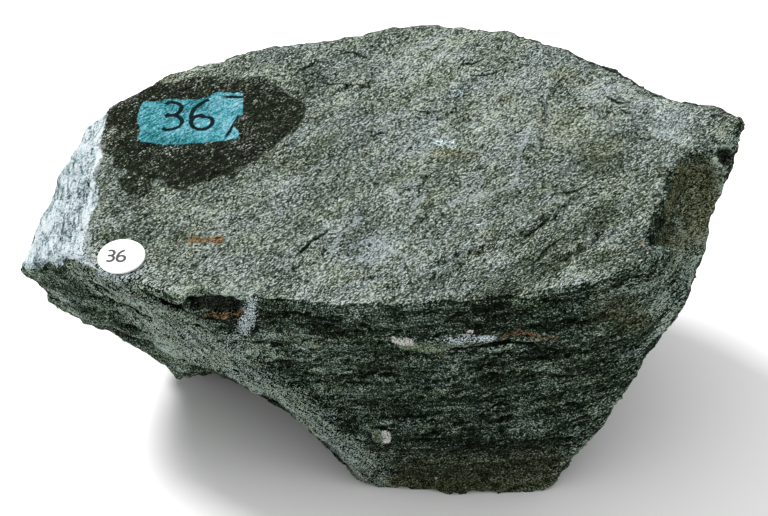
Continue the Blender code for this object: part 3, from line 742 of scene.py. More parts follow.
# %% Thin lines
ring_turns = [step * math.pi / 6 for step in range(13)]
RING = [(9.5 + 1.7 * math.cos(turn), -36.4, 27.5 + 1.8 * math.sin(turn)) for turn in ring_turns]
# Pale lines are veins, and painted highlights along some rims and a crest.
PALE_LINES = [  # (half width, strength, places along the line)
    (0.3, 0.8, [(26.1, 11.6, 51.0), (27.3, 10.8, 51.1), (27.9, 9.4, 50.9), (27.9, 4.9, 50.3)]),
    (0.28, 0.9, [
        (24.6, 2.9, 50.5), (22.6, -3.7, 49.5), (22.7, -6.8, 48.9), (21.7, -10.4, 48.5), (17.5, -12.4, 48.2),
    ]),
    (0.6, 0.75, [(17.5, -12.4, 48.2), (13.8, -13.5, 48.1), (11.2, -14.6, 47.8)]),
    (0.35, 1.0, [(-8.6, -22.5, 44.7), (-7.9, -20.6, 44.9), (-6.5, -18.7, 45.3), (-4.3, -16.7, 46.1)]),
    (0.55, 0.8, [(-4.6, -22.1, 44.8), (-2.0, -21.1, 45.3), (2.6, -24.9, 45.3), (4.4, -25.9, 45.3)]),
    (0.5, 0.7, [(-3.6, -25.1, 44.6), (-1.0, -26.1, 44.6)]),
    (0.35, 0.7, [(3.3, -25.4, 45.2), (2.9, -28.2, 44.9)]),
    (0.4, 0.7, [(4.5, -17.3, 46.5), (5.0, -14.1, 47.2), (6.3, -12.2, 47.5)]),
    (0.25, 0.5, [(6.5, 1.6, 48.1), (6.4, -2.7, 48.1), (6.2, -6.5, 48.2)]),
    # painted highlights along the rims of the scoop and of the pit
    (0.3, 1.0, [(57.2, -6.7, 49.0), (56.7, -7.6, 45.5)]),
    (0.3, 0.9, [(55.0, -4.5, 51.7), (55.9, -3.9, 51.9), (57.8, -3.4, 51.6)]),
    (0.25, 0.9, [(55.6, -4.3, 51.8), (55.2, -5.6, 51.3), (56.0, -6.6, 50.2), (57.0, -6.6, 49.3)]),
    (0.25, 0.8, [(53.1, -8.6, 45.2), (54.1, -9.2, 44.1), (55.1, -10.4, 42.9)]),
    (0.5, 1.0, [
        (-48.3, 10.6, 44.7), (-48.9, 1.4, 44.0), (-49.7, -6.4, 42.4), (-49.8, -15.5, 42.0),
        (-48.7, -21.7, 41.9),
    ]),
    # a painted highlight along the crest of the front face
    (0.22, 0.7, [(15.5, -36.8, 44.5), (23.0, -35.9, 45.0), (30.1, -34.8, 45.4), (36.0, -32.8, 46.7)]),
    (0.3, 0.5, RING),
]
FINE_CRACKS = [  # (half width, strength, places along the line)
    (0.3, 1.0, [(-26.9, 16.9, 47.3), (-24.5, 16.7, 47.4)]),
    (0.24, 1.0, [(-25.3, 11.2, 46.7), (-26.8, 7.3, 46.4)]),
    (0.3, 0.8, [(26.7, 10.4, 51.0), (27.3, 9.2, 50.9), (27.3, 5.4, 50.3)]),
    (0.3, 0.7, [(-20.0, -33.0, 40.0), (-14.0, -34.0, 40.6), (-8.0, -35.4, 40.4)]),
]
CRACK_SHARE = 0.7  # how much of a crack's width its dark line fills
# Every crack also gets a dark line: painted shade inside it, where the mesh is too coarse to shade it.
DARK_LINES = FINE_CRACKS + [(half_width * CRACK_SHARE, 1.0, places) for half_width, _, places in CRACKS]
NEAR = 1.3  # millimetres from a line at which it is forgotten
FAR = 9.0  # stands for a line that isn't near


def line_marks(points, normals, lines):
    """How far each point lies beside the nearest line, in half widths, and the line's strength there."""
    nearest = np.full(len(points), FAR)
    beside = np.full(len(points), FAR)
    strengths = np.zeros(len(points))
    for half_width, strength, places in lines:
        for start, end in zip(places, places[1:]):
            run = np.array(end, float) - start
            share = np.clip((points - start) @ run / (run @ run), 0.0, 1.0)
            offset = points - start - share[:, None] * run
            depth = (offset * normals).sum(1)
            distance = np.sqrt(np.maximum((offset ** 2).sum(1) - depth ** 2, 0.0))
            distance += FAR * ease(1.0, 3.0, np.abs(depth))
            sideways = np.cross(normals, run / np.linalg.norm(run))
            closer = distance < nearest
            nearest = np.where(closer, distance, nearest)
            beside = np.where(closer, (offset * sideways).sum(1) / half_width, beside)
            strengths = np.where(closer, strength, strengths)
    return beside, strengths * ease(NEAR, NEAR / 2, nearest)


for kind, lines in (("pale_line", PALE_LINES), ("dark_line", DARK_LINES)):
    beside, strength = line_marks(uncracked, wide_normals, lines)
    mark(rock.data, kind + "_side", beside)
    mark(rock.data, kind + "_strength", strength)
    print(kind, "lines:", len(lines))

# %% [markdown]
# ## Light level and colours
# Each colour is given as it should look on screen, from 0 to 255, on a face that is lit as the cleavage
# face is. The helper turns it into the paint that gives it: screen colours are encoded, so they are
# decoded first, and the light's level is divided out.

# %% Colour helper
LIGHT_LEVEL = 1.75  # what a white card on the cleavage face would measure


def tone(red, green, blue, light=LIGHT_LEVEL):
    """The paint that looks like this screen colour under the studio light."""
    shares = [value / 255 for value in (red, green, blue)]
    linear = [share / 12.92 if share <= 0.04045 else ((share + 0.055) / 1.055) ** 2.4 for share in shares]
    return (*[value / light for value in linear], 1.0)


def shades(light, *stops):
    """A colour scale from stops of (position, red, green, blue)."""
    return [(position, tone(red, green, blue, light)) for position, red, green, blue in stops]


def blend(tree, factor, first, second, kind="MIX"):
    """Mixes two colours."""
    inputs = {0: factor, 6: first, 7: second}
    return add(tree, "ShaderNodeMix", inputs, 2, data_type="RGBA", blend_type=kind, clamp_factor=True)


def scale_of(tree, value, stops):
    """A colour read off a scale of (position, colour) stops."""
    node = tree.nodes.new("ShaderNodeValToRGB")
    tree.links.new(value, node.inputs[0])
    marks_on_scale = node.color_ramp.elements
    while len(marks_on_scale) < len(stops):
        marks_on_scale.new(0.5)
    for element, (position, colour) in zip(marks_on_scale, stops):
        element.position = position
        element.color = colour
    return node.outputs[0]


def mixture(tree, parts, total=0.5):
    """The total, plus each value's distance from 0.5 times its weight, kept from 0 to 1."""
    for value, weight in parts:
        part = sum_of(tree, "MULTIPLY", sum_of(tree, "SUBTRACT", value, 0.5), weight)
        total = sum_of(tree, "ADD", part, total)
    return sum_of(tree, "MAXIMUM", sum_of(tree, "MINIMUM", total, 1.0), 0.0)


print("paint of the cleavage face:", [round(value, 3) for value in tone(116, 128, 114)])

# %% [markdown]
# ## Places on the block and the written number
# Rock and label both need places in block millimetres, so one helper adds those nodes to either material.
# Both also carry a number written by hand. That is one shared node group, whose inputs say where the
# number stands and how large it is. A stroke of it is an arc: the distance from a circle, cut to a sweep
# of angles.

# %% Places on the block
GRAIN_STRETCH = 2.6  # a grain of the cleavage face is this many times as long as wide
SHEET_STRETCH = 7.0  # a sheet on a broken face is this many times as long as thick


def block_place(tree):
    """The shaded point's place in block millimetres."""
    own = add(tree, "ShaderNodeTexCoord", out="Object")
    own = add(tree, "ShaderNodeVectorMath", {0: own, "Scale": 1 / MM}, operation="SCALE")
    return vector_of(tree, "SUBTRACT", own, ORIGIN)


def along_layers(tree, place, lengthwise, sideways):
    """A place measured along the grain, over it and through the layers, with the first two drawn out."""
    return add(tree, "ShaderNodeCombineXYZ", {
        0: sum_of(tree, "DIVIDE", dot_of(tree, place, GRAIN), lengthwise),
        1: sum_of(tree, "DIVIDE", dot_of(tree, place, ACROSS), sideways),
        2: dot_of(tree, place, LAYER),
    })


print("a grain is", GRAIN_STRETCH, "times as long as wide")

# %% Arc stroke group
arc_inputs = [
    ("Point", VECTOR, (0.0, 0.0, 0.0)),
    ("Centre", VECTOR, (0.0, 0.0, 0.0)),
    ("Radius", FLOAT, 0.25),
    ("Towards", VECTOR, (1.0, 0.0, 0.0)),
    ("Sweep Cosine", FLOAT, -1.0),
    ("Thickness", FLOAT, 0.1),
]
arc, arc_in, arc_out = new_group("ShaderNodeTree", "Arc stroke", arc_inputs, [("Ink", FLOAT)])
from_centre = vector_of(arc, "SUBTRACT", arc_in.outputs["Point"], arc_in.outputs["Centre"])
reach = vector_of(arc, "LENGTH", from_centre, out="Value")
off_line = sum_of(arc, "ABSOLUTE", sum_of(arc, "SUBTRACT", reach, arc_in.outputs["Radius"]))
half = sum_of(arc, "MULTIPLY", arc_in.outputs["Thickness"], 0.5)
on_line = ramp_of(arc, off_line, sum_of(arc, "MULTIPLY", half, 1.15), sum_of(arc, "MULTIPLY", half, 0.75))
aim = dot_of(arc, vector_of(arc, "NORMALIZE", from_centre), arc_in.outputs["Towards"])
in_sweep = sum_of(arc, "GREATER_THAN", aim, arc_in.outputs["Sweep Cosine"])
arc.links.new(sum_of(arc, "MULTIPLY", on_line, in_sweep), arc_out.inputs["Ink"])
print("arc group:", len(arc.nodes), "nodes")

# %% Written number group
ARCS = [  # (centre, radius, middle and half of the sweep in degrees): a three, then a six
    ((0.27, 0.745), 0.215, 5, 128),
    ((0.27, 0.28), 0.25, -5, 128),
    ((0.95, 0.27), 0.235, 0, 181),
    ((1.27, 0.44), 0.56, 148, 39),
]
number_inputs = [
    ("Place", VECTOR, (0.0, 0.0, 0.0)),
    ("Corner", VECTOR, (0.0, 0.0, 0.0)),
    ("Height", FLOAT, 5.0),
    ("Turn", FLOAT, 0.0),
    ("Thickness", FLOAT, 0.1),
]
number, number_in, number_out = new_group(
    "ShaderNodeTree", "Written number", number_inputs, [("Ink", FLOAT)]
)
local = vector_of(number, "SUBTRACT", number_in.outputs["Place"], number_in.outputs["Corner"])
turned = {"Vector": local, "Angle": number_in.outputs["Turn"]}
local = add(number, "ShaderNodeVectorRotate", turned, rotation_type="Z_AXIS")
local = vector_of(number, "MULTIPLY", local, (1.0, 1.0, 0.0))
size = sum_of(number, "DIVIDE", 1.0, number_in.outputs["Height"])
local = add(number, "ShaderNodeVectorMath", {0: local, "Scale": size}, operation="SCALE")
ink = 0.0
for centre, radius, middle, half_sweep in ARCS:
    towards = math.radians(middle)
    stroke = {
        "Point": local,
        "Centre": (*centre, 0.0),
        "Radius": radius,
        "Towards": (math.cos(towards), math.sin(towards), 0.0),
        "Sweep Cosine": math.cos(math.radians(half_sweep)) if half_sweep < 180 else -2.0,
        "Thickness": number_in.outputs["Thickness"],
    }
    ink = sum_of(number, "MAXIMUM", use(number, arc, stroke).outputs["Ink"], ink)
number.links.new(ink, number_out.inputs["Ink"])
print("number group:", len(ARCS), "strokes")

# %% [markdown]
# ## The rock's material
# Up close the cleavage face is a salt and pepper of grey-green, olive and blue-grey grains, drawn out
# along the grain. The broken faces are painted almost black, partly their own darker grain and partly
# painted shade, ruled by fine sheets. The two are mixed by the share of cleavage that was measured on
# the mesh. Then come the bruises and painted light and shade, rust and crystals, and last the varnish
# and the blue-green paint.

# %% Start the rock's tree
GRAIN_SIZE = 0.122  # millimetres across a mineral grain
SHADE_LEVEL = 1.33  # the light on the front face, as the light level is on the cleavage face
RIDGE = Vector((44.7, -9.7, -34.0)).normalized()  # the way the left ridge runs down
RIDGE_STRETCH = 6.0  # a streak on the left flank is this many times as long as wide

schist.use_nodes = True
rock_tree = schist.node_tree
rock_shader = rock_tree.nodes["Principled BSDF"]
place = block_place(rock_tree)
grain = along_layers(rock_tree, place, GRAIN_STRETCH, 1.0)
sheets = along_layers(rock_tree, place, SHEET_STRETCH, SHEET_STRETCH)


def attribute_of(name):
    """Reads a mark that was kept on the mesh."""
    return add(rock_tree, "ShaderNodeAttribute", out="Fac", attribute_name=name)


def math_of(operation, first, second=0.0, clamp=False):
    """One step of arithmetic in the rock's tree."""
    return sum_of(rock_tree, operation, first, second, clamp)


def times(first, second):
    """The product of two values."""
    return math_of("MULTIPLY", first, second)


def plus(value, part, weight):
    """The value with a part added that counts by its weight."""
    return math_of("ADD", value, times(part, weight))


patch_noise = noise_of(rock_tree, grain, 7.0, 4.0, 0.6, seed=1.0)
olive_noise = noise_of(rock_tree, grain, 3.4, 4.0, 0.65, seed=5.0)
mid_noise = noise_of(rock_tree, grain, 0.85, 4.0, 0.7, seed=3.0)
fine_noise = noise_of(rock_tree, grain, 0.2, 1.0, 0.7, seed=7.0)
sheet_noise = noise_of(rock_tree, sheets, 0.6, 4.0, 0.75, seed=2.0)
wide_sheets = noise_of(rock_tree, sheets, 3.2, 3.0, 0.6, seed=12.0)
cells = add(rock_tree, "ShaderNodeTexVoronoi", {"Vector": grain, "Scale": 1 / GRAIN_SIZE}).node
split = add(rock_tree, "ShaderNodeSeparateColor", {0: cells.outputs["Color"]}).node
one_grain, other_grain = split.outputs[0], split.outputs[1]
dissolve = mixture(rock_tree, [(one_grain, 0.5), (mid_noise, 1.3), (fine_noise, 0.6)])
dissolve = math_of("SUBTRACT", dissolve, 0.5)
cleavage = ramp_of(rock_tree, plus(attribute_of("cleavage_share"), dissolve, 0.25), 0.42, 0.56)

# Down the left ridge the sheets show as streaks that run with it.
beside_ridge = RIDGE.orthogonal().normalized()
ridge_place = add(rock_tree, "ShaderNodeCombineXYZ", {
    0: math_of("DIVIDE", dot_of(rock_tree, place, RIDGE), RIDGE_STRETCH),
    1: dot_of(rock_tree, place, beside_ridge),
    2: dot_of(rock_tree, place, RIDGE.cross(beside_ridge)),
})
ridge_noise = noise_of(rock_tree, ridge_place, 0.65, 4.0, 0.74, seed=9.0)
streaks_by_place = {0: attribute_of("flank"), 2: sheet_noise, 3: ridge_noise}
streaked = add(rock_tree, "ShaderNodeMix", streaks_by_place, data_type="FLOAT")
print("rock tree started:", len(rock_tree.nodes), "nodes")

# %% Lighter and darker places
def line_of(kind):
    """The mask of the thin lines of one kind, with a small wobble."""
    beside = plus(attribute_of(kind + "_side"), math_of("SUBTRACT", mid_noise, 0.5), 2.6)
    on_line = ramp_of(rock_tree, math_of("ABSOLUTE", beside), 1.4, 0.6)
    return math_of("MULTIPLY", on_line, attribute_of(kind + "_strength"))


pale_line, dark_line = line_of("pale_line"), line_of("dark_line")
fine_crest = attribute_of("fine_crest")
# Lighter capsules lift the value, partly as painted light on lit rims and faces.
lift = plus(0.5, attribute_of("bruise_and_light"), 0.5)
# Pale lines lift it too: veins, and painted highlights on rims.
lift = plus(lift, pale_line, 0.35)
lift = plus(lift, attribute_of("blue"), 0.1)
# Darker capsules lower the value, partly as painted shade.
lift = plus(lift, attribute_of("shade"), -0.4)
# Dark lines lower the value as painted shade in the cracks.
lift = plus(lift, dark_line, -0.4)
# Painted highlight on fine crests and painted shade in fine hollows.
lift = math_of("ADD", lift, ramp_of(rock_tree, fine_crest, 0.03, 0.2, 0.0, 0.16))
lift = math_of("SUBTRACT", lift, ramp_of(rock_tree, fine_crest, -0.02, -0.16, 0.0, 0.34))
ridge_contrast = mixture(rock_tree, [(ridge_noise, 3.6), (fine_noise, 2.2), (one_grain, 1.4)])
lift = plus(lift, math_of("SUBTRACT", ridge_contrast, 0.53), attribute_of("flank"))
print("lighter and darker places ready")

# %% Colour of the cleavage face
top_parts = [
    (one_grain, 1.25), (fine_noise, 1.0), (mid_noise, 0.4), (patch_noise, 1.2), (sheet_noise, 0.25),
]
top_value = mixture(rock_tree, top_parts, lift)
TOP_SCALE = shades(
    LIGHT_LEVEL, (0.0, 16, 20, 11), (0.24, 60, 68, 48), (0.5, 95, 107, 95), (0.75, 142, 154, 147),
    (1.0, 230, 237, 236),
)
top = scale_of(rock_tree, top_value, TOP_SCALE)
hue_value = mixture(rock_tree, [(olive_noise, 2.6), (other_grain, 0.6), (attribute_of("blue"), -0.5)], 0.35)
BLUE_TINT = (0.91, 0.97, 1.0, 1.0)
GREEN_TINT = (0.97, 1.0, 0.97, 1.0)
OLIVE_TINT = (0.95, 0.98, 0.82, 1.0)
tint = scale_of(rock_tree, hue_value, [(0.15, BLUE_TINT), (0.5, GREEN_TINT), (0.85, OLIVE_TINT)])
top = blend(rock_tree, 1.0, top, tint, "MULTIPLY")
print("cleavage face coloured")

# %% Colour of the broken faces
front_parts = [(one_grain, 0.85), (fine_noise, 1.4), (streaked, 1.25), (mid_noise, 0.4), (wide_sheets, 1.1)]
front_value = mixture(rock_tree, front_parts, lift)
# The broken faces' scale is dark partly as their own grain and partly as painted shade, as the front face
# lies in shade.
FRONT_SCALE = shades(
    SHADE_LEVEL, (0.0, 4, 6, 3), (0.3, 13, 18, 11), (0.55, 33, 42, 30), (0.75, 66, 82, 67),
    (0.9, 122, 142, 128), (1.0, 196, 210, 202),
)
front = blend(rock_tree, 1.0, scale_of(rock_tree, front_value, FRONT_SCALE), tint, "MULTIPLY")
base = blend(rock_tree, cleavage, front, top)
print("broken faces coloured")

# %% Rust, olive and crystals
def paint_over(under, strength, colour, fray=1.0):
    """Puts a colour over the rock: the stronger, the more grains take it. Less fray is crisper."""
    start = math_of("MULTIPLY", strength, 5.0, clamp=True)
    taken = ramp_of(rock_tree, plus(strength, dissolve, fray), 0.42, 0.6)
    return blend(rock_tree, times(start, taken), under, colour)


white_value = mixture(rock_tree, [(one_grain, 1.0), (fine_noise, 2.0), (mid_noise, 1.3)])
OLIVE_SCALE = shades(
    LIGHT_LEVEL, (0.0, 12, 15, 5), (0.4, 60, 67, 38), (0.65, 102, 110, 70), (1.0, 206, 208, 170)
)
HOLLOW_SCALE = shades(LIGHT_LEVEL, (0.1, 8, 10, 7), (0.6, 40, 46, 38), (1.0, 112, 122, 108))
FROST_SCALE = shades(
    SHADE_LEVEL, (0.0, 18, 30, 26), (0.27, 56, 80, 76), (0.52, 126, 158, 160), (0.72, 238, 252, 254)
)
RUST_SCALE = shades(SHADE_LEVEL, (0.1, 14, 12, 7), (0.5, 62, 48, 30), (1.0, 176, 147, 110))
CRYSTAL_SCALE = shades(SHADE_LEVEL, (0.1, 42, 54, 34), (0.6, 92, 110, 80), (1.0, 196, 208, 188))
CHIP_SCALE = shades(
    SHADE_LEVEL, (0.0, 40, 42, 32), (0.28, 130, 134, 118), (0.5, 212, 214, 204), (0.7, 252, 252, 248)
)
base = blend(rock_tree, attribute_of("olive"), base, scale_of(rock_tree, white_value, OLIVE_SCALE))
# Pale lines lighten the cleavage face: veins, and painted highlights on rims and a crest.
line_light = times(times(pale_line, cleavage), ramp_of(rock_tree, dissolve, -0.3, 0.15, 0.0, 0.62))
base = blend(rock_tree, line_light, base, tone(166, 178, 188))
base = paint_over(base, attribute_of("hollow"), scale_of(rock_tree, white_value, HOLLOW_SCALE), 1.3)
base = paint_over(base, attribute_of("scuff"), scale_of(rock_tree, white_value, FROST_SCALE), 2.2)
base = paint_over(base, attribute_of("rust"), scale_of(rock_tree, white_value, RUST_SCALE), 1.7)
base = paint_over(base, attribute_of("crystal"), scale_of(rock_tree, white_value, CRYSTAL_SCALE), 0.7)
base = paint_over(base, attribute_of("grains"), scale_of(rock_tree, white_value, CHIP_SCALE), 0.5)
print("patches painted")

# %% Bruised left face
tilted = {"Vector": place, "Angle": 0.12}
streak_place = add(rock_tree, "ShaderNodeVectorRotate", tilted, rotation_type="X_AXIS")
streak_place = vector_of(rock_tree, "MULTIPLY", streak_place, (1.0, 0.16, 1.0))
streaks = noise_of(rock_tree, streak_place, 0.8, 4.0, 0.7, seed=4.0)
chalk_start = plus(0.53, pale_line, 0.4)
chalk_start = plus(chalk_start, attribute_of("bruise_and_light"), 0.3)
chalk_start = plus(chalk_start, attribute_of("shade"), -0.4)
chalk_parts = [(one_grain, 0.6), (fine_noise, 1.5), (streaks, 2.6), (patch_noise, 1.6)]
chalk_value = mixture(rock_tree, chalk_parts, chalk_start)
CHALK_SCALE = shades(
    LIGHT_LEVEL, (0.0, 44, 58, 50), (0.24, 112, 132, 133), (0.46, 187, 210, 219), (0.7, 242, 252, 255)
)
base = paint_over(base, attribute_of("bruised_share"), scale_of(rock_tree, chalk_value, CHALK_SCALE), 0.6)
print("left face done")

# %% Varnish, paint and its number
PAINTED_CORNER = (-38.9, 8.7, 0.0)
PAINTED_HEIGHT = 7.9


def frayed(edge, size, reach, seed):
    """The edge distance with noise added, so that an outline wanders by about this reach."""
    noise = noise_of(rock_tree, grain, size, 4.0, 0.7, seed=seed)
    return plus(edge, math_of("SUBTRACT", noise, 0.5), reach)


varnish_edge = frayed(math_of("ADD", attribute_of("varnish_edge"), 0.5), 1.6, 1.8, 6.0)
varnish_edge = plus(varnish_edge, dissolve, 0.9)
varnish = ramp_of(rock_tree, varnish_edge, -0.15, 0.15)
VARNISH_SCALE = shades(
    LIGHT_LEVEL, (0.0, 2, 3, 1), (0.4, 17, 23, 11), (0.65, 42, 53, 32), (0.85, 86, 102, 78),
    (1.0, 204, 212, 200),
)
wet_parts = [(one_grain, 0.8), (fine_noise, 1.7), (mid_noise, 1.6), (patch_noise, 0.3)]
wet_value = mixture(rock_tree, wet_parts, 0.385)
wet = scale_of(rock_tree, wet_value, VARNISH_SCALE)
# Painted glints: white flecks in the varnish's colour stand for its sparkle.
glint = times(ramp_of(rock_tree, other_grain, 0.87, 0.94), ramp_of(rock_tree, olive_noise, 0.52, 0.66))
base = blend(rock_tree, varnish, base, blend(rock_tree, glint, wet, tone(226, 232, 226)))
paint = ramp_of(rock_tree, frayed(attribute_of("paint_edge"), 1.1, 0.9, 8.0), -0.08, 0.08)
TEAL_SCALE = shades(
    LIGHT_LEVEL, (0.0, 12, 56, 58), (0.28, 40, 120, 124), (0.55, 74, 158, 168), (0.8, 112, 194, 216),
    (1.0, 176, 222, 232),
)
teal_start = plus(0.5, attribute_of("bruise_and_light"), 0.3)
teal_parts = [(one_grain, 0.5), (mid_noise, 1.8), (fine_noise, 1.7), (patch_noise, 1.0)]
teal_value = mixture(rock_tree, teal_parts, teal_start)
base = blend(rock_tree, paint, base, scale_of(rock_tree, teal_value, TEAL_SCALE))
# Painted shade in the cracks through the paint.
base = blend(rock_tree, times(dark_line, paint), base, tone(14, 32, 32))
painted = {"Place": place, "Corner": PAINTED_CORNER, "Height": PAINTED_HEIGHT, "Thickness": 0.105}
ink = use(rock_tree, number, painted).outputs["Ink"]
worn = ramp_of(rock_tree, mid_noise, 0.3, 0.45, 0.7, 0.98)
ink = times(times(ink, paint), worn)
base = blend(rock_tree, ink, base, tone(10, 22, 24))
rock_tree.links.new(base, rock_shader.inputs["Base Color"])
print("rock tree:", len(rock_tree.nodes), "nodes")

# %% Gloss and bump of the rock
FLAKE_SIZE = 6.0  # millimetres across a place where thin sheets have flaked off
FLAKE_SHEETS = 7.0  # sheets from the deepest to the highest
FLAKE_THICKNESS = 0.24

rock_tree.links.new(ramp_of(rock_tree, other_grain, 0.0, 1.0, 0.9, 0.6), rock_shader.inputs["Roughness"])
bare_varnish = math_of("SUBTRACT", varnish, times(paint, 0.7), clamp=True)
rock_tree.links.new(times(bare_varnish, 0.1), rock_shader.inputs["Coat Weight"])
rock_shader.inputs["Coat Roughness"].default_value = 0.15
rock_shader.inputs["Specular IOR Level"].default_value = 0.02

height = times(times(streaked, plus(1.0, cleavage, -0.8)), 0.6)
height = plus(height, mid_noise, 0.6)
sheet_number = times(noise_of(rock_tree, grain, FLAKE_SIZE, 5.0, 0.6, seed=14.0), FLAKE_SHEETS)
sheet_edge = ramp_of(rock_tree, math_of("FRACT", sheet_number), 0.0, 0.2)
flaked = times(math_of("ADD", math_of("FLOOR", sheet_number), sheet_edge), FLAKE_THICKNESS)
height = plus(height, flaked, cleavage)
height = plus(height, fine_noise, 0.25)
height = plus(height, cells.outputs["Distance"], -0.1)
coated = math_of("MAXIMUM", varnish, paint)
height = times(height, plus(1.0, coated, -0.35))
height = plus(height, paint, 0.08)
height = plus(height, dark_line, -0.25)
bump = add(rock_tree, "ShaderNodeBump", {"Strength": 1.0, "Distance": MM, "Height": height})
rock_tree.links.new(bump, rock_shader.inputs["Normal"])
print("gloss and bump done")

# %% Finish the rock
rock.data.transform(TO_BLOCK.inverted())
rock.data.shade_smooth()
if not rock.data.materials:
    rock.data.materials.append(schist)
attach(rock, "root")
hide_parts("schist_block")
rock.data.calc_loop_triangles()
print("rock:", len(rock.data.loop_triangles), "triangles")

# %% [markdown]
# ## The paper label
# The label is a round dot of white paper, pressed on by a thumb. It isn't quite flat, and its rim is
# rounded off. It is made as rings of points: a bottom, a rim and a top that dips and swells by a few
# hundredths of a millimetre.

# %% Make the label
RINGS = 14
SIDES = 96
LABEL_BOTTOM = 0.08
LABEL_TOP = 0.5
LABEL_FILL = 0.995  # the share of the CAD label's radius that the paper fills
RIM = [(0.985, 0.0), (1.0, 0.35), (1.0, 0.7), (0.985, 1.0)]  # (share of the radius, share of the height)


def paper_swell(x, y):
    """How far the paper stands off its mean height, as over small grains."""
    return 0.035 * math.sin(0.9 * x + 0.4) * math.cos(1.1 * y) + 0.02 * math.sin(2.3 * x - 1.7 * y)


def label_rings():
    """(radius, height share) of every ring from the middle of the bottom round to the middle of the top."""
    inner = [(ring / RINGS, 0.0) for ring in range(1, RINGS)]
    return inner + RIM + [(share, 1.0) for share, _ in reversed(inner)]


def make_label():
    """The mesh of the label: rings of points, closed by a middle point below and above."""
    bm = bmesh.new()
    turn = LAYER.to_track_quat("Z", "Y").to_matrix().to_4x4()
    place = Matrix.Translation(on_cleavage(*LABEL_AT)) @ turn

    def point(x, y, share):
        high = LABEL_BOTTOM + (LABEL_TOP - LABEL_BOTTOM) * share + paper_swell(x, y) * share
        return bm.verts.new(place @ Vector((x, y, high)))

    loops = []
    for radius, share in label_rings():
        angles = [2 * math.pi * side / SIDES for side in range(SIDES)]
        reach = radius * LABEL_RADIUS * LABEL_FILL
        loops.append([point(reach * math.cos(angle), reach * math.sin(angle), share) for angle in angles])
    for lower, upper in zip(loops, loops[1:]):
        for side in range(SIDES):
            after = (side + 1) % SIDES
            bm.faces.new((lower[side], lower[after], upper[after], upper[side]))
    for loop, share in ((loops[0], 0.0), (loops[-1], 1.0)):
        middle = point(0.0, 0.0, share)
        for side in range(SIDES):
            bm.faces.new((loop[side], loop[(side + 1) % SIDES], middle))
    bmesh.ops.recalc_face_normals(bm, faces=bm.faces)
    mesh = bpy.data.meshes.new("paper_label")
    bm.to_mesh(mesh)
    bm.free()
    mesh.transform(TO_BLOCK.inverted())
    mesh.shade_smooth()
    return mesh


label = bpy.data.objects.new("paper_label", make_label())
bpy.context.scene.collection.objects.link(label)
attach(label, "root")
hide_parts("number_label")
print("label:", len(label.data.polygons), "faces")

# %% [markdown]
# ## Paper and ink
# The paper is almost white, with a faint grey where it has been handled and a fine fibre bump. The number
# is written with a thin dark pen, so it uses the same written number group as the paint, smaller and
# thinner.

# %% Label material
WRITTEN_CORNER = (-46.2, -23.3, 0.0)
CLEAN_PAPER = (0.88, 0.88, 0.865, 1.0)
HANDLED_PAPER = (0.78, 0.79, 0.77, 1.0)
PAPER_FIBRE = (0.74, 0.74, 0.72, 1.0)

paper = bpy.data.materials.new("label_paper")
paper.use_nodes = True
paper_tree = paper.node_tree
paper_shader = paper_tree.nodes["Principled BSDF"]
paper_place = block_place(paper_tree)
fibres = noise_of(paper_tree, paper_place, 0.25, 3.0, 0.6, seed=1.0)
handled = noise_of(paper_tree, paper_place, 2.5, 3.0, 0.6, seed=2.0)
grubby = ramp_of(paper_tree, handled, 0.5, 0.75, 0.0, 0.6)
fibrous = ramp_of(paper_tree, fibres, 0.5, 0.75, 0.0, 0.3)
sheet_colour = blend(paper_tree, grubby, CLEAN_PAPER, HANDLED_PAPER)
sheet_colour = blend(paper_tree, fibrous, sheet_colour, PAPER_FIBRE)
written = {"Place": paper_place, "Corner": WRITTEN_CORNER, "Height": 2.8, "Turn": 0.1, "Thickness": 0.19}
pen = use(paper_tree, number, written).outputs["Ink"]
sheet_colour = blend(paper_tree, pen, sheet_colour, tone(36, 36, 40))
paper_tree.links.new(sheet_colour, paper_shader.inputs["Base Color"])
paper_tree.links.new(ramp_of(paper_tree, fibres, 0.3, 0.7, 0.62, 0.5), paper_shader.inputs["Roughness"])
fibre_height = sum_of(paper_tree, "MULTIPLY", fibres, 0.05)
paper_bump = add(paper_tree, "ShaderNodeBump", {"Strength": 0.5, "Distance": MM, "Height": fibre_height})
paper_tree.links.new(paper_bump, paper_shader.inputs["Normal"])
label.data.materials.append(paper)
print("label material:", len(paper_tree.nodes), "nodes")

# %% [markdown]
# ## Floor, light and camera
# The block stands on a plain pale sheet. The main soft light hangs above it, a little behind and to the
# left, so that the cleavage face is bright and the front face falls into shade. A wide weak one overhead
# and a pale surrounding fill the shadows. The camera is a long lens that looks down at 38 degrees from
# 600 mm away.

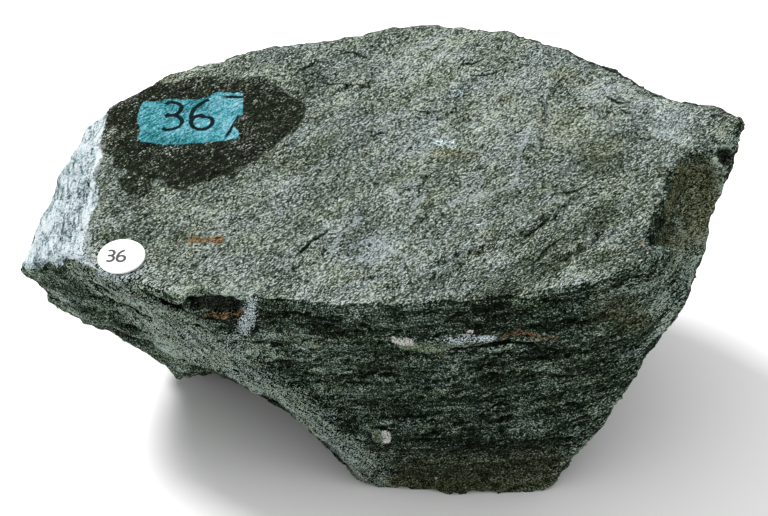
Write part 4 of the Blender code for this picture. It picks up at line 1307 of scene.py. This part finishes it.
# %% Floor
FLOOR_HALF = 3.0
floor_mesh = bpy.data.meshes.new("floor")
corners = [(x * FLOOR_HALF, y * FLOOR_HALF, 0) for x, y in ((-1, -1), (1, -1), (1, 1), (-1, 1))]
floor_mesh.from_pydata(corners, [], [(0, 1, 2, 3)])
floor = bpy.data.objects.new("floor", floor_mesh)
bpy.context.scene.collection.objects.link(floor)
pale = bpy.data.materials.new("pale_floor")
pale.use_nodes = True
pale_shader = pale.node_tree.nodes["Principled BSDF"]
pale_shader.inputs["Base Color"].default_value = (0.93, 0.93, 0.93, 1.0)
pale_shader.inputs["Roughness"].default_value = 1.0
pale_shader.inputs["Specular IOR Level"].default_value = 0.0
floor_mesh.materials.append(pale)
print("floor ready")

# %% Light
SOFTBOXES = [  # (name, place in metres, size, power in watts)
    ("key_softbox", (-0.75, 0.6, 0.95), 0.4, 24.0),
    ("overhead_softbox", (0.15, 0.2, 1.2), 1.6, 5.0),
]
for name, place_in_room, size, power in SOFTBOXES:
    lamp = bpy.data.lights.new(name, "AREA")
    lamp.shape = "SQUARE"
    lamp.size = size
    lamp.energy = power
    holder = bpy.data.objects.new(name, lamp)
    holder.location = place_in_room
    holder.rotation_euler = (-Vector(place_in_room)).to_track_quat("-Z", "Y").to_euler()
    bpy.context.scene.collection.objects.link(holder)
world = bpy.data.worlds.new("studio")
world.use_nodes = True
world.node_tree.nodes["Background"].inputs["Color"].default_value = (1.0, 1.0, 1.0, 1.0)
world.node_tree.nodes["Background"].inputs["Strength"].default_value = 0.7
bpy.context.scene.world = world
bpy.context.scene.view_settings.view_transform = "Standard"
print("lights:", len(SOFTBOXES))

# %% Camera
ELEVATION = 38.0
DISTANCE = 600.0
AIM = Vector((0.0, 0.0, 25.0))
LENS = 162.0

back = Vector((0.0, -math.cos(math.radians(ELEVATION)), math.sin(math.radians(ELEVATION))))
camera = bpy.data.objects.new("camera", bpy.data.cameras.new("camera"))
camera.data.lens = LENS
camera.data.sensor_width = 36.0
camera.data.clip_start = 0.01
camera.location = (AIM + back * DISTANCE + ORIGIN) * MM
camera.rotation_euler = (math.radians(90.0 - ELEVATION), 0.0, 0.0)
bpy.context.scene.collection.objects.link(camera)
bpy.context.scene.camera = camera
print("camera at", [round(value, 3) for value in camera.location])
